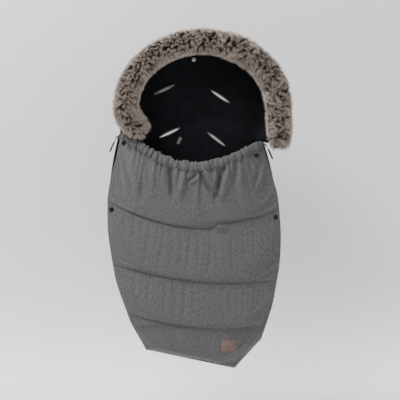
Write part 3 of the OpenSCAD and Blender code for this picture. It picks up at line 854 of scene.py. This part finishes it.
def tube(name, centres, up_way, profile, material):
    """A closed tube along centres. profile(i, turn) gives its reach forward and up at that angle."""
    sides = 18
    rows = []
    for i, centre in enumerate(centres):
        along = centres[min(i + 1, len(centres) - 1)] - centres[max(i - 1, 0)]
        along.normalize()
        up = Vector(up_way)
        up -= along * up.dot(along)
        up.normalize()
        side = along.cross(up)
        row = []
        for j in range(sides):
            a, b = profile(i, 2 * math.pi * j / sides)
            row.append(tuple(centre + side * a + up * b))
        rows.append(row)
    grid = np.array(rows)
    mesh = sheet_mesh(name, grid, closed=True)
    obj = new_object(name, mesh, material)
    bm = bmesh.new()
    bm.from_mesh(mesh)
    bm.verts.ensure_lookup_table()
    for start in (0, (len(rows) - 1) * sides):
        bm.faces.new([bm.verts[start + j] for j in range(sides)])
    bm.to_mesh(mesh)
    bm.free()
    tidy_mesh(obj, 1e-6)
    return obj


def line_at(row, t):
    """Point at the share t of the way along a row of points."""
    place = t * (len(row) - 1)
    i = min(int(place), len(row) - 2)
    return Vector(row[i]).lerp(Vector(row[i + 1]), place - i)


neck_front, neck_rear = skin_grid[-1], lining_grid[-1]
casing_stations = 520
puckers = 25
casing_centres = [line_at(neck_front, t).lerp(line_at(neck_rear, t), 0.5) + Vector((0, 0, 0.0046))
                  for t in steps(casing_stations, True)]


def casing_profile(i, turn):
    t = i / (casing_stations - 1)
    jitter = 2.0 * wave(t, 0, 0, 0.07, 6.6)
    gather = abs(math.sin(math.pi * (t * puckers + jitter))) ** 0.55
    taper = 0.55 + 0.45 * (1 - abs(2 * t - 1) ** 5)
    size = 0.0040 + 0.0056 * gather * (1 + 0.55 * wave(t, 0, 0, 0.05, 5.0))
    size += 0.0012 * wave(t, turn * 0.1, 0, 0.02, 2.0)
    swing = 0.0018 * wave(t, 0, 0, 0.03, 3.0)
    return taper * size * math.cos(turn), taper * (size * 1.6 * math.sin(turn) + swing)


neck_casing = tube("neck_band", casing_centres, (0, 0, 1), casing_profile, melange)
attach(neck_casing, "collar")
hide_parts("neck_casing", "neck_elastic")


# ---- Zips -------------------------------------------------------------------------------------
# Black nylon coil zips run round both sides. Each tape is sewn to its fabric, and the coil's turns
# stand on its edge. The tapes keep their plain shape, and every turn of the coil is a piece of its own.

def make_row_group():
    """Geometry nodes: one copy of a small piece on every point, turned and sized by the point."""
    tree = bpy.data.node_groups.new("pieces_on_points", "GeometryNodeTree")
    for key, kind in (("Geometry", "Geometry"), ("Piece", "Object"), ("Material", "Material"),
                      ("Size from", "Float"), ("Size to", "Float"), ("Twist", "Float"), ("Seed", "Int")):
        tree.interface.new_socket(key, in_out="INPUT", socket_type="NodeSocket" + kind)
    tree.interface.new_socket("Geometry", in_out="OUTPUT", socket_type="NodeSocketGeometry")
    given, sink = tree.nodes.new("NodeGroupInput").outputs, tree.nodes.new("NodeGroupOutput")

    def chance(low=0.0, high=1.0):
        inputs = {2: low, 3: high, "Seed": given["Seed"]}
        return add(tree, "FunctionNodeRandomValue", inputs, data_type="FLOAT").outputs[1]

    piece = add(tree, "GeometryNodeObjectInfo", {"Object": given["Piece"]})
    turn = add(tree, "GeometryNodeInputNamedAttribute", {"Name": "turn"}, data_type="FLOAT_VECTOR")
    facing = add(tree, "FunctionNodeEulerToRotation", {0: turn.outputs[0]})
    spin = chance(maths(tree, "MULTIPLY", given["Twist"], -1.0), given["Twist"])
    twist = add(tree, "FunctionNodeAxisAngleToRotation", {"Axis": (0, 0, 1), "Angle": spin})
    both = add(tree, "FunctionNodeRotateRotation", {0: facing.outputs[0], 1: twist.outputs[0]},
               rotation_space="LOCAL")
    points = add(tree, "GeometryNodeMeshToPoints", {"Mesh": given["Geometry"]})
    copies = add(tree, "GeometryNodeInstanceOnPoints", {
        "Points": points.outputs[0], "Rotation": both.outputs[0], "Instance": piece.outputs["Geometry"],
        "Scale": chance(given["Size from"], given["Size to"])})
    marked = add(tree, "GeometryNodeStoreNamedAttribute",
                 {"Geometry": copies.outputs[0], "Name": "shade"}, data_type="FLOAT", domain="INSTANCE")
    tree.links.new(chance(), marked.inputs["Value"])
    real = add(tree, "GeometryNodeRealizeInstances", {0: marked.outputs[0]})
    coat = add(tree, "GeometryNodeSetMaterial", {"Geometry": real.outputs[0], "Material": given["Material"]})
    tree.links.new(coat.outputs[0], sink.inputs[0])
    return tree


pieces_on_points = make_row_group()


def scatter(name, places, piece, material, sizes=(1.0, 1.0), twist=0.0, seed=1):
    """A plain mesh of one small piece repeated at (point, euler) places."""
    mesh = plain_mesh(name, [place for place, _ in places], [])
    turns = mesh.attributes.new("turn", "FLOAT_VECTOR", "POINT")
    turns.data.foreach_set("vector", np.array([tuple(e) for _, e in places], np.float32).ravel())
    obj = new_object(name, mesh)
    nodes = obj.modifiers.new("pieces", "NODES")
    nodes.node_group = pieces_on_points
    values = {"Piece": piece, "Material": material, "Size from": sizes[0], "Size to": sizes[1],
              "Twist": twist, "Seed": seed}
    for socket in pieces_on_points.interface.items_tree:
        if socket.in_out == "INPUT" and socket.name in values:
            nodes[socket.identifier] = values[socket.name]
    apply_modifiers(obj)
    obj.data.name = name
    shade_smooth(obj.data)
    return obj


def turned(forward, up):
    """Euler angles that point local Z along forward and local Y near up."""
    z = forward.normalized()
    x = up.cross(z).normalized()
    y = z.cross(x)
    return np.array(((x[0], y[0], z[0]), (x[1], y[1], z[1]), (x[2], y[2], z[2])))


def as_euler(matrix):
    return Matrix([list(r) for r in matrix]).to_euler()


def template(name, points, faces):
    """A small closed shape to repeat. It isn't shown itself."""
    mesh = plain_mesh(name, points, faces)
    obj = bpy.data.objects.new(name, mesh)
    tidy_mesh(obj, 1e-7)
    return obj


def ring_faces(rings, sides):
    """Faces that join rings of points one after another, with a cap on both ends."""
    faces = []
    for i in range(rings - 1):
        for j in range(sides):
            a, b = i * sides + j, i * sides + (j + 1) % sides
            faces.append([a, b, b + sides, a + sides])
    last = (rings - 1) * sides
    return faces + [list(range(sides))[::-1], list(range(last, last + sides))]


def bar_shape(name, length, wide, thick, crown):
    """A short rounded bar along local Y that bulges to local Z, as a coil's turn or a stitch."""
    points = []
    for along, fat in ((-0.5, 0.25), (-0.32, 0.95), (0.32, 0.95), (0.5, 0.25)):
        lift = crown * (1 - (2 * along) ** 2)
        for j in range(6):
            a = 2 * math.pi * j / 6
            x, z = wide / 2 * fat * math.cos(a), lift + thick / 2 * fat * math.sin(a)
            points.append((x, length * along, z))
    return template(name, points, ring_faces(4, 6))


def coil_material():
    material, tree, shader = node_material("zip_coil")
    dirt = noise_on(tree, own_place(tree), 260.0)
    colour = ramp(tree, dirt, (0.3, (0.008, 0.008, 0.010)), (0.75, (0.030, 0.030, 0.034)))
    dress(tree, shader, colour, Roughness=maths(tree, "MULTIPLY_ADD", dirt, 0.3, 0.2))
    return material


def paint(material, *names):
    """Gives carried-over solids their material."""
    for name in names:
        node = frame["nodes"][name]
        node.data.materials.clear()
        node.data.materials.append(material)


coil = coil_material()
zip_tape = cloth_material("zip_tape", (0.006, 0.006, 0.007), (0.032, 0.032, 0.036), 1900.0, 0.8, 0.05,
                          0.3, 0.0002, ("Y", "Z"))
tooth = bar_shape("coil_turn", 0.0022, 0.0013, 0.0013, 0.0004)
tooth_pitch = 0.0021
for side in ("left", "right"):
    cx, cz, radius = (left_cx, left_cz, left_radius) if side == "left" else (right_cx, right_cz, right_radius)
    turn_to = -1 if side == "left" else 1
    for body, part in (("back", "back"), ("front_cover", "cover"), ("collar", "collar")):
        node = f"{side}_zip_{part}_teeth"
        low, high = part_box(node)
        reach = radius - 0.0014
        a0 = math.asin((low.z + 0.001 - cz) / reach)
        a1 = math.asin((high.z - 0.001 - cz) / reach)
        count = int((a1 - a0) * reach / tooth_pitch)
        depth = (low.y + high.y) / 2
        places = []
        for i in range(count + 1):
            a = mix(a0, a1, i / count)
            out = Vector((turn_to * math.cos(a), 0, math.sin(a)))
            point = Vector((cx + turn_to * math.cos(a) * reach, depth, cz + math.sin(a) * reach))
            for face in (-1, 1):
                lean = Vector((0, 1, 0)) + face * 0.25 * Vector((0, 0, 1))
                places.append((point + out * face * 0.0010, as_euler(turned(out * face, lean))))
        teeth = scatter(f"{side}_{part}_coil", places, tooth, coil, seed=11)
        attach(teeth, body)
        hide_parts(node)
paint(zip_tape, *[f"{side}_zip_{part}_tape" for side in ("left", "right")
                  for part in ("back", "cover", "collar")])
paint(coil, "zip_top_stops", "zip_bottom_stops")


def coated_material(name, colour, bare, roughness):
    """Lacquered metal with fine orange peel, rubbed through where it is handled."""
    material, tree, shader = node_material(name)
    place = own_place(tree)
    rub = noise_on(tree, place, 420.0, 5.0, Roughness=0.65)
    worn = add(tree, "ShaderNodeMapRange", {"Value": rub, "From Min": 0.62, "From Max": 0.72}).outputs[0]
    dress(tree, shader, mix_colour(tree, worn, colour, bare), noise_on(tree, place, 1500.0, 2.0), 0.25,
          Metallic=0.85, Roughness=roughness, Coat_Weight=0.2)
    return material


def rubber_material(name, dark, light):
    """Moulded rubber or soft plastic with a fine grain and a bloom of dust."""
    material, tree, shader = node_material(name)
    place = own_place(tree)
    bloom = ramp(tree, noise_on(tree, place, 35.0, 4.0), (0.35, dark), (0.75, light))
    dress(tree, shader, bloom, noise_on(tree, place, 1300.0), Roughness=0.62)
    return material


def pull_piece(side, body):
    """A moulded pull on a short cord: thin at the eye, a ribbed grip, and a rounded end."""
    low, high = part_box(f"{side}_pull")
    near_x, far_x = (high.x, low.x) if side == "left" else (low.x, high.x)
    hand = -1 if side == "left" else 1
    top = Vector((near_x + hand * 0.0019, (low.y + high.y) / 2, high.z - 0.0019))
    tip = Vector((far_x - hand * 0.0010, top.y, low.z + 0.0010))
    stations = 90
    centres = [top.lerp(tip, t) for t in steps(stations, True)]

    def shape(i, turn):
        t = i / (stations - 1)
        if t < 0.30:
            wide, deep = 0.0010, 0.0010
        else:
            grip = smooth(0.30, 0.36, t) * math.sqrt(max(1 - smooth(0.93, 1.0, t) ** 2, 0.06))
            rib = 0.0003 * math.sin(2 * math.pi * (t - 0.42) * 22) if 0.42 < t < 0.88 else 0.0
            wide, deep = 0.0010 + (0.0013 + rib) * grip, 0.0010 + (0.0016 + rib) * grip
        return wide * math.cos(turn), deep * math.sin(turn)

    pull = tube(f"{side}_pull_grip", centres, (0, -1, 0), shape, pull_rubber)
    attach(pull, body)
    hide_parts(f"{side}_pull")


slider_coat = coated_material("slider_coat", (0.020, 0.020, 0.022), (0.30, 0.29, 0.27), 0.34)
pull_rubber = rubber_material("pull_rubber", (0.010, 0.010, 0.011), (0.022, 0.022, 0.024))
paint(slider_coat, "left_slider", "right_slider")
pull_piece("left", "left_pull")
pull_piece("right", "right_pull")


# ---- Stitching --------------------------------------------------------------------------------
# Polyester thread, one lock stitch every four millimetres along the three quilting seams, sunk into
# the fabric.

thread = cloth_material("thread", (0.030, 0.030, 0.032), (0.10, 0.10, 0.105), 3000.0, 0.6, 0.0, 0.3,
                        0.0001, ("X", "Z"))
stitch = bar_shape("stitch", 0.0030, 0.0007, 0.0007, 0.0002)


pad_front_y = -0.10  # where a place beside the pads is taken to lie


def pad_surface(*objects):
    """Finds the frontmost point of the pads behind an (across, up) place, and its normal."""
    graph = bpy.context.evaluated_depsgraph_get()
    graph.update()
    trees = [BVHTree.FromObject(obj, graph) for obj in objects]

    def find(x, z):
        best = None
        for tree in trees:
            place, normal, _, _ = tree.ray_cast(Vector((x, -0.5, z)), Vector((0, 1, 0)))
            if place and (best is None or place.y < best[0].y):
                best = (place, normal)
        return best or (Vector((x, pad_front_y, z)), Vector((0, -1, 0)))
    return find


on_pads = pad_surface(foot_pad, middle_pad, neck_pad)


stitch_pitch = 0.0040


def stitch_line(name, line, body, seed):
    """Stitches along a line of (across, up) points on the front."""
    places, carry = [], 0.0
    for (x0, z0), (x1, z1) in zip(line, line[1:]):
        length = math.hypot(x1 - x0, z1 - z0)
        while carry < length:
            t = carry / length
            place, normal = on_pads(mix(x0, x1, t), mix(z0, z1, t))
            along = Vector((x1 - x0, 0, z1 - z0)).normalized()
            places.append((place + normal * 0.0001, as_euler(turned(normal, along))))
            carry += stitch_pitch
        carry -= length
    sewn = scatter(name, places, stitch, thread, (0.9, 1.1), 0.12, seed)
    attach(sewn, body)


def grid_line(row, drop=0.0):
    return [(p[0], p[2] - drop) for p in skin_grid[row][2:-2]]


stitch_line("seam_three_stitches", grid_line(seam_rows[0]), "back", seed=5)
stitch_line("seam_two_stitches", grid_line(seam_rows[1], -0.0015), "front_cover", seed=6)
stitch_line("seam_one_stitches", grid_line(seam_rows[2], 0.0015), "front_cover", seed=7)


# ---- Snap buttons -----------------------------------------------------------------------------
# Domed caps with a rolled rim, of lacquered brass, riveted through the front near its edges. Two pairs
# hold the folded collar and the front's lower part.

snap_coat = coated_material("snap_coat", (0.016, 0.016, 0.018), (0.22, 0.20, 0.17), 0.30)
cap_profile = [(0.0, 0.0024), (0.0024, 0.0023), (0.0040, 0.0019), (0.0046, 0.0015), (0.0050, 0.0016),
               (0.0058, 0.0019), (0.0064, 0.0014), (0.0065, 0.0004), (0.0062, -0.0006), (0.0050, -0.0014),
               (0.0, -0.0016)]


def lathe(name, profile, place, normal, material):
    """A turned piece with its axis along normal at place."""
    frame_3 = turned(normal, Vector((0, 0, 1)))
    rows = []
    for r, h in profile:
        row = []
        for t in steps(40):
            a = 2 * math.pi * t
            local = np.array((max(r, 1e-6) * math.cos(a), max(r, 1e-6) * math.sin(a), h))
            row.append(tuple(np.array(place) + frame_3 @ local))
        rows.append(row)
    obj = new_object(name, sheet_mesh(name, np.array(rows), closed=True), material)
    tidy_mesh(obj, 0.00001)
    return obj


snap_places = {
    "collar_left": (-0.184, -0.040, "collar"), "collar_right": (0.174, -0.074, "collar"),
    "cover_left": (-0.217, -0.220, "front_cover"), "cover_right": (0.226, -0.241, "front_cover"),
}
for name, (x, z, body) in snap_places.items():
    place, normal = on_pads(x, z)
    normal = (normal + Vector((0, -1.2, 0))).normalized()
    snap = lathe(name + "_snap", cap_profile, place + normal * 0.0010, normal, snap_coat)
    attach(snap, body)
    if name.endswith("left"):
        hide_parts(body.replace("front_", "") + "_snaps")


# ---- Leather patch ----------------------------------------------------------------------------
# A plain brown leather patch with rounded corners, sewn on near its edge at the right of the foot
# pocket. It lies on the swelling fabric and bends with it.

def leather_material():
    material, tree, shader = node_material("brown_leather")
    place = own_place(tree)
    pores = add(tree, "ShaderNodeTexVoronoi", {"Vector": place, "Scale": 850.0}, feature="DISTANCE_TO_EDGE")
    tone = noise_on(tree, place, 70.0, 5.0, Roughness=0.6)
    colour = ramp(tree, tone, (0.30, (0.105, 0.064, 0.050)), (0.72, (0.215, 0.140, 0.112)))
    dress(tree, shader, colour, pores.outputs["Distance"], 0.5, 0.0004,
          Roughness=maths(tree, "MULTIPLY_ADD", tone, 0.4, 0.34))
    return material


leather = leather_material()
patch_low, patch_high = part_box("leather_patch")
patch_middle = ((patch_low.x + patch_high.x) / 2, (patch_low.z + patch_high.z) / 2)
patch_wide, patch_tall, patch_corner, patch_tilt = 0.043, 0.032, 0.0035, -0.06


def rounded(u, v, wide, tall, corner):
    """A point of a square from -1 to 1, moved onto a rectangle with rounded corners."""
    x, z = u * wide / 2, v * tall / 2
    over_x, over_z = abs(x) - (wide / 2 - corner), abs(z) - (tall / 2 - corner)
    if over_x > 0 and over_z > 0:
        reach = math.hypot(over_x, over_z)
        if reach > corner * 0.999:
            x = math.copysign(wide / 2 - corner + over_x * corner / reach, x)
            z = math.copysign(tall / 2 - corner + over_z * corner / reach, z)
    return x, z


def laid_plate(name, middle, wide, tall, corner, thick, tilt, material):
    """A thin plate that follows the front's surface, with a rounded edge."""
    count = 22
    c, s = math.cos(tilt), math.sin(tilt)
    top, bottom, soft = [], [], {}
    for i in range(count + 1):
        for j in range(count + 1):
            x, z = rounded(2 * j / count - 1, 2 * i / count - 1, wide, tall, corner)
            place, _ = on_pads(middle[0] + x * c - z * s, middle[1] + x * s + z * c)
            soft[i, j] = place.y
    for i in range(count + 1):
        for j in range(count + 1):
            around = [soft[a, b] for a in range(max(i - 4, 0), min(i + 5, count + 1))
                      for b in range(max(j - 4, 0), min(j + 5, count + 1))]
            y = 0.5 * sum(around) / len(around) + 0.5 * min(around)
            u, v = 2 * j / count - 1, 2 * i / count - 1
            x, z = rounded(u, v, wide, tall, corner)
            edge = min(wide / 2 - abs(x), tall / 2 - abs(z))
            groove = 0.0002 * (1 - smooth(0.0018, 0.0030, abs(edge - 0.0024) + 0.0018))
            lift = thick * (0.45 + 0.55 * smooth(0, 0.0012, edge)) - groove
            px, pz = middle[0] + x * c - z * s, middle[1] + x * s + z * c
            top.append((px, y - lift, pz))
            bottom.append((px, y + 0.0006, pz))
    shape = (count + 1, count + 1, 3)
    return new_object(name, pad_mesh(name, np.array(top).reshape(shape), np.array(bottom).reshape(shape)),
                      material, material)


patch = laid_plate("leather_label", patch_middle, patch_wide, patch_tall, patch_corner, 0.0018, patch_tilt,
                   leather)
tidy_mesh(patch, 1e-6)
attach(patch, "back")
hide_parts("leather_patch")
on_patch = pad_surface(patch)
patch_places = []
for t in steps(56):
    a = t * 4
    k, w = int(a), (a % 1) * 2 - 1
    u, v = [(w, 1), (1, -w), (-w, -1), (-1, w)][k]
    x, z = rounded(u, v, patch_wide - 0.005, patch_tall - 0.005, 0.002)
    c, s = math.cos(patch_tilt), math.sin(patch_tilt)
    place, normal = on_patch(patch_middle[0] + x * c - z * s, patch_middle[1] + x * s + z * c)
    along = Vector((c, 0, s)) if k in (0, 2) else Vector((-s, 0, c))
    patch_places.append((place, as_euler(turned(normal, along))))
short_stitch = template("short_stitch", [0.6 * v.co for v in stitch.data.vertices],
                        [list(f.vertices) for f in stitch.data.polygons])
patch_thread = scatter("patch_stitches", patch_places, short_stitch, thread, (0.95, 1.05), 0.08, 9)
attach(patch_thread, "back")


# ---- Hood hem and fur -------------------------------------------------------------------------
# The hood's hem is a gathered channel with elastic in it. A strip of faux fur on a knitted backing is
# sewn round it: dark brown pile with pale beige tips, in tufts that part and lie over each other.

def ring_frame(a):
    """Point, direction along, outward and forward at the share a of the hem."""
    step = 0.004
    along = (ring_point(min(a + step, 1)) - ring_point(max(a - step, 0))).normalized()
    forward = Vector((0, -1, 0))
    out = along.cross(forward)
    if out.dot(ring_out(a)) < 0:
        out = -out
    return ring_point(a), along, out.normalized(), forward


hem_stations = 420
hem_centres = [ring_point(t) + Vector((0, 0.030, 0)) + ring_out(t) * 0.004 for t in steps(hem_stations, True)]


def hem_profile(i, turn):
    t = i / (hem_stations - 1)
    gather = abs(math.sin(math.pi * (t * 46 + 0.8 * wave(t, 0, 0, 0.04, 1.1)))) ** 0.6
    size = 0.0052 + 0.0022 * gather
    return size * math.cos(turn), size * math.sin(turn)


hem = tube("hood_hem_band", hem_centres, (0, -1, 0), hem_profile, melange)
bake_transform(hem)
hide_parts("hood_hem", "hood_elastic")


def fur_material():
    """Pile dark at the root and pale at the tip, each tuft a little different."""
    material, tree, shader = node_material("faux_fur")
    tip = add(tree, "ShaderNodeAttribute", attribute_name="tip").outputs["Fac"]
    shade = add(tree, "ShaderNodeAttribute", attribute_name="shade").outputs["Fac"]
    shift = maths(tree, "MULTIPLY_ADD", shade, 0.34, -0.17)
    place = maths(tree, "ADD", tip, shift, use_clamp=True)
    pile = ramp(tree, place, (0.0, (0.020, 0.014, 0.011)), (0.40, (0.075, 0.055, 0.044)),
                (0.66, (0.27, 0.215, 0.18)), (1.0, (0.66, 0.575, 0.50)))
    tinted = add(tree, "ShaderNodeVectorMath", {0: pile}, operation="SCALE")
    grey = maths(tree, "MULTIPLY_ADD", noise_on(tree, own_place(tree), 22.0), 0.55, 0.72)
    tree.links.new(grey, tinted.inputs["Scale"])
    dress(tree, shader, tinted.outputs[0], Roughness=0.62, Specular_IOR_Level=0.35, Sheen_Weight=0.30,
          Sheen_Tint=(0.9, 0.8, 0.7, 1))
    return material


faux_fur = fur_material()
fur_backing = cloth_material("fur_backing", (0.014, 0.010, 0.008), (0.05, 0.036, 0.03), 700.0, 0.95, 0.0)


def fur_core(i, turn):
    t = i / (hem_stations - 1)
    close = math.sqrt(max(0.10, 1 - abs(2 * t - 1) ** 24))
    return 0.021 * close * math.cos(turn), 0.017 * close * math.sin(turn)


core_centres = [ring_point(t) for t in steps(hem_stations, True)]
fur_strip = tube("fur_backing", core_centres, (0, -1, 0), fur_core, fur_backing)
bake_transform(fur_strip)
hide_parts("fur_trim")


def fur_tuft(name, hairs, length, spread, bend, thick, seed):
    """A few bent, tapering hairs that grow from one point along local Z and lean to local Y."""
    rng = np.random.default_rng(seed)
    points, faces, tips = [], [], []
    for h in range(hairs):
        a = 2 * math.pi * (h + rng.uniform(-0.3, 0.3)) / hairs
        lean = Vector((math.cos(a), math.sin(a), 0)) * spread * rng.uniform(0.5, 1.0)
        high = length * rng.uniform(0.78, 1.05)
        base = Vector((math.cos(a), math.sin(a), 0)) * 0.0008
        start = len(points)
        for share_up, fat in ((0.0, 1.0), (0.55, 0.85)):
            middle = base + lean * high * share_up + Vector((0, bend * high * share_up ** 2, high * share_up))
            for k in range(3):
                b = 2 * math.pi * k / 3 + a
                points.append(middle + Vector((math.cos(b), math.sin(b), 0)) * thick * fat)
                tips.append(share_up)
        end = base + lean * high * 0.8 + Vector((0, bend * high, high * 0.94))
        points.append(end)
        tips.append(1.0)
        for k in range(3):
            n = (k + 1) % 3
            faces.append([start + k, start + n, start + 3 + n, start + 3 + k])
            faces.append([start + 3 + k, start + 3 + n, start + 6])
        faces.append([start + 2, start + 1, start])
    mesh = plain_mesh(name, points, faces)
    mesh.attributes.new("tip", "FLOAT", "POINT").data.foreach_set("value", tips)
    return bpy.data.objects.new(name, mesh)


fur_parts = 7
fur_clumps = 800
clump_tufts = 5
hair_thick = 0.00042
for part in range(fur_parts):
    rng = np.random.default_rng(40 + part)
    tuft = fur_tuft(f"tuft_{part}", 4, 0.0215, 0.10, 0.30, hair_thick, 60 + part)
    places = []
    for k in range(fur_clumps):
        a = (part + (k + rng.uniform()) / fur_clumps) / fur_parts
        centre, along, out, forward = ring_frame(a)
        turn = rng.uniform(-1.0, 1.0)
        angle = math.radians(158) * math.copysign(abs(turn) ** 0.92, turn)
        close = math.sqrt(max(0.10, 1 - abs(2 * a - 1) ** 24))
        radial = forward * math.cos(angle) + out * math.sin(angle)
        side = out * math.cos(angle) - forward * math.sin(angle)
        middle = centre + (forward * math.cos(angle) * 0.0165 + out * math.sin(angle) * 0.0205) * close
        ends = -along if a < 0.03 else along if a > 0.97 else Vector((0, 0, 0))
        drift = Vector([wave(*middle, 0.03, seed) for seed in (1.0, 5.0, 9.0)])
        comb = (along * 0.15 + Vector((0, 0, -0.18)) + drift * 0.45 + ends * 0.7
                + Vector(tuple(rng.normal(0, 0.17, 3))))
        for _ in range(clump_tufts):
            reach = 0.0034 * math.sqrt(rng.uniform())
            round_it = rng.uniform(0, 2 * math.pi)
            offset = along * reach * math.cos(round_it) + side * reach * math.sin(round_it)
            grow = (radial + comb * 0.6 - offset * 36 + Vector(tuple(rng.normal(0, 0.05, 3)))).normalized()
            lay = comb - grow * comb.dot(grow) + Vector((1e-4, 2e-4, -0.05))
            places.append((middle + offset, as_euler(turned(grow, lay))))
    fur = scatter(f"fur_{part + 1}", places, tuft, faux_fur, (0.72, 1.12), 0.5, 80 + part)
    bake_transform(fur)


# ---- Webbing, tabs and the panel behind ----------------------------------------------------------
# A webbing loop is sewn to the top of the back, to hang it or to hold it to a seat. A rubbery non-slip
# panel lies on the rear face, and two small blank tabs are sewn inside.

webbing = cloth_material("webbing", (0.008, 0.008, 0.010), (0.045, 0.045, 0.050), 700.0, 0.7, 0.05, 0.3,
                         0.0005, ("X", "Z"))
tab_cloth = cloth_material("tab_cloth", (0.11, 0.11, 0.115), (0.30, 0.30, 0.305), 1700.0, 0.7, 0.05, 0.3,
                           0.0002, ("X", "Z"))
white_tape = cloth_material("white_tape", (0.55, 0.55, 0.54), (0.85, 0.85, 0.83), 1900.0, 0.7, 0.05, 0.3,
                            0.0002)
grip_base = rubber_material("grip_base", (0.014, 0.014, 0.016), (0.034, 0.034, 0.038))
grip_dot = rubber_material("grip_dot", (0.030, 0.030, 0.033), (0.055, 0.055, 0.060))
paint(webbing, "hanging_loop")
paint(tab_cloth, "care_tab")
paint(grip_base, "grip_panel")
grip_low, grip_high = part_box("grip_panel")
dot_points = []
for r, h in ((0.0024, 0.0), (0.0019, 0.0007), (0.0009, 0.0010)):
    dot_points += [(r * math.cos(math.pi * j / 4), r * math.sin(math.pi * j / 4), h) for j in range(8)]
dot_places = []
dot_pitch = 0.010
dot_turn = as_euler(turned(Vector((0, 1, 0)), Vector((0, 0, 1))))
dot_rows = int((grip_high.z - grip_low.z - 0.016) / (dot_pitch * 0.866))
dot_columns = int((grip_high.x - grip_low.x - 0.020) / dot_pitch)
for i in range(dot_rows + 1):
    for j in range(dot_columns + (i + 1) % 2):
        x = grip_low.x + 0.010 + (j + 0.5 * (i % 2)) * dot_pitch
        z = grip_low.z + 0.008 + i * dot_pitch * 0.866
        dot_places.append((Vector((x, grip_high.y - 0.0001, z)), dot_turn))
rubber_dot = template("rubber_dot", dot_points, ring_faces(3, 8))
dots = scatter("grip_dots", dot_places, rubber_dot, grip_dot, (0.97, 1.03), 0.3, 3)
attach(dots, "back")

tab_rows = []
for t in steps(15, True):
    row = []
    for w in (-1, 1):
        bulge = 0.0035 * (1 + math.sin(math.pi * t))
        row.append((0.005 + w * 0.005, -back_depth - bulge, 0.194 - 0.010 * t))
    tab_rows.append(row)
white_tab = new_object("white_tab", sheet_mesh("white_tab", np.array(tab_rows)), white_tape)
thicken(white_tab, 0.0005)
tidy_mesh(white_tab, 1e-6)
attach(white_tab, "hood")


# ---- Stage, lights and camera -----------------------------------------------------------------
# It hangs in front of a pale plain wall, lit softly from the front and above.

def stage_material(name, colour):
    material, tree, shader = node_material(name)
    low = tuple(c * 0.97 for c in colour)
    plaster = ramp(tree, noise_on(tree, own_place(tree), 3.0, 4.0), (0.3, low), (0.7, colour))
    dress(tree, shader, plaster, Roughness=0.9)
    glass = add(tree, "ShaderNodeBsdfTransparent")
    pick = add(tree, "ShaderNodeMixShader", {0: add(tree, "ShaderNodeNewGeometry").outputs["Backfacing"],
                                             1: shader.outputs[0], 2: glass.outputs[0]})
    tree.links.new(pick.outputs[0], tree.nodes["Material Output"].inputs["Surface"])
    return material


def stage_plane(name, corners, colour):
    plane = new_object(name, plain_mesh(name, corners, [[0, 1, 2, 3]]), stage_material(name, colour))


wall_y, floor_z = 0.27, -0.80
stage_plane("wall", [(-6, wall_y, -4), (6, wall_y, -4), (6, wall_y, 5), (-6, wall_y, 5)],
            (0.98, 0.975, 0.97))
stage_plane("floor", [(-6, -6, floor_z), (6, -6, floor_z), (6, 6, floor_z), (-6, 6, floor_z)],
            (0.90, 0.90, 0.90))


def area_light(name, place, aim, size, watts):
    data = bpy.data.lights.new(name, "AREA")
    data.shape = "RECTANGLE"
    data.size, data.size_y = size
    data.energy = watts
    light = bpy.data.objects.new(name, data)
    bpy.context.scene.collection.objects.link(light)
    light.location = place
    light.rotation_euler = (Vector(aim) - Vector(place)).to_track_quat("-Z", "Y").to_euler()


area_light("key", (-1.2, -1.1, 1.9), (0, 0, -0.2), (1.1, 0.9), 84)
area_light("fill", (1.9, -1.7, 0.5), (0, 0, -0.2), (1.4, 1.8), 15)
area_light("wash", (0.0, 0.10, -0.79), (0, wall_y, -0.45), (3.0, 0.06), 5.0)
area_light("rim", (0.4, 2.2, 1.6), (0, 0, -0.1), (1.6, 1.2), 30)
world = bpy.data.worlds.new("studio")
bpy.context.scene.world = world
world.use_nodes = True
world.node_tree.nodes["Background"].inputs["Color"].default_value = (0.95, 0.96, 1.0, 1)
world.node_tree.nodes["Background"].inputs["Strength"].default_value = 0.36

camera_data = bpy.data.cameras.new("camera")
camera_data.sensor_width = 36
camera_data.lens = 150
camera = bpy.data.objects.new("camera", camera_data)
bpy.context.scene.collection.objects.link(camera)
camera.location = (0.0216, -4.56, -0.194)
camera.rotation_euler = (math.radians(90), 0, 0)
bpy.context.scene.camera = camera
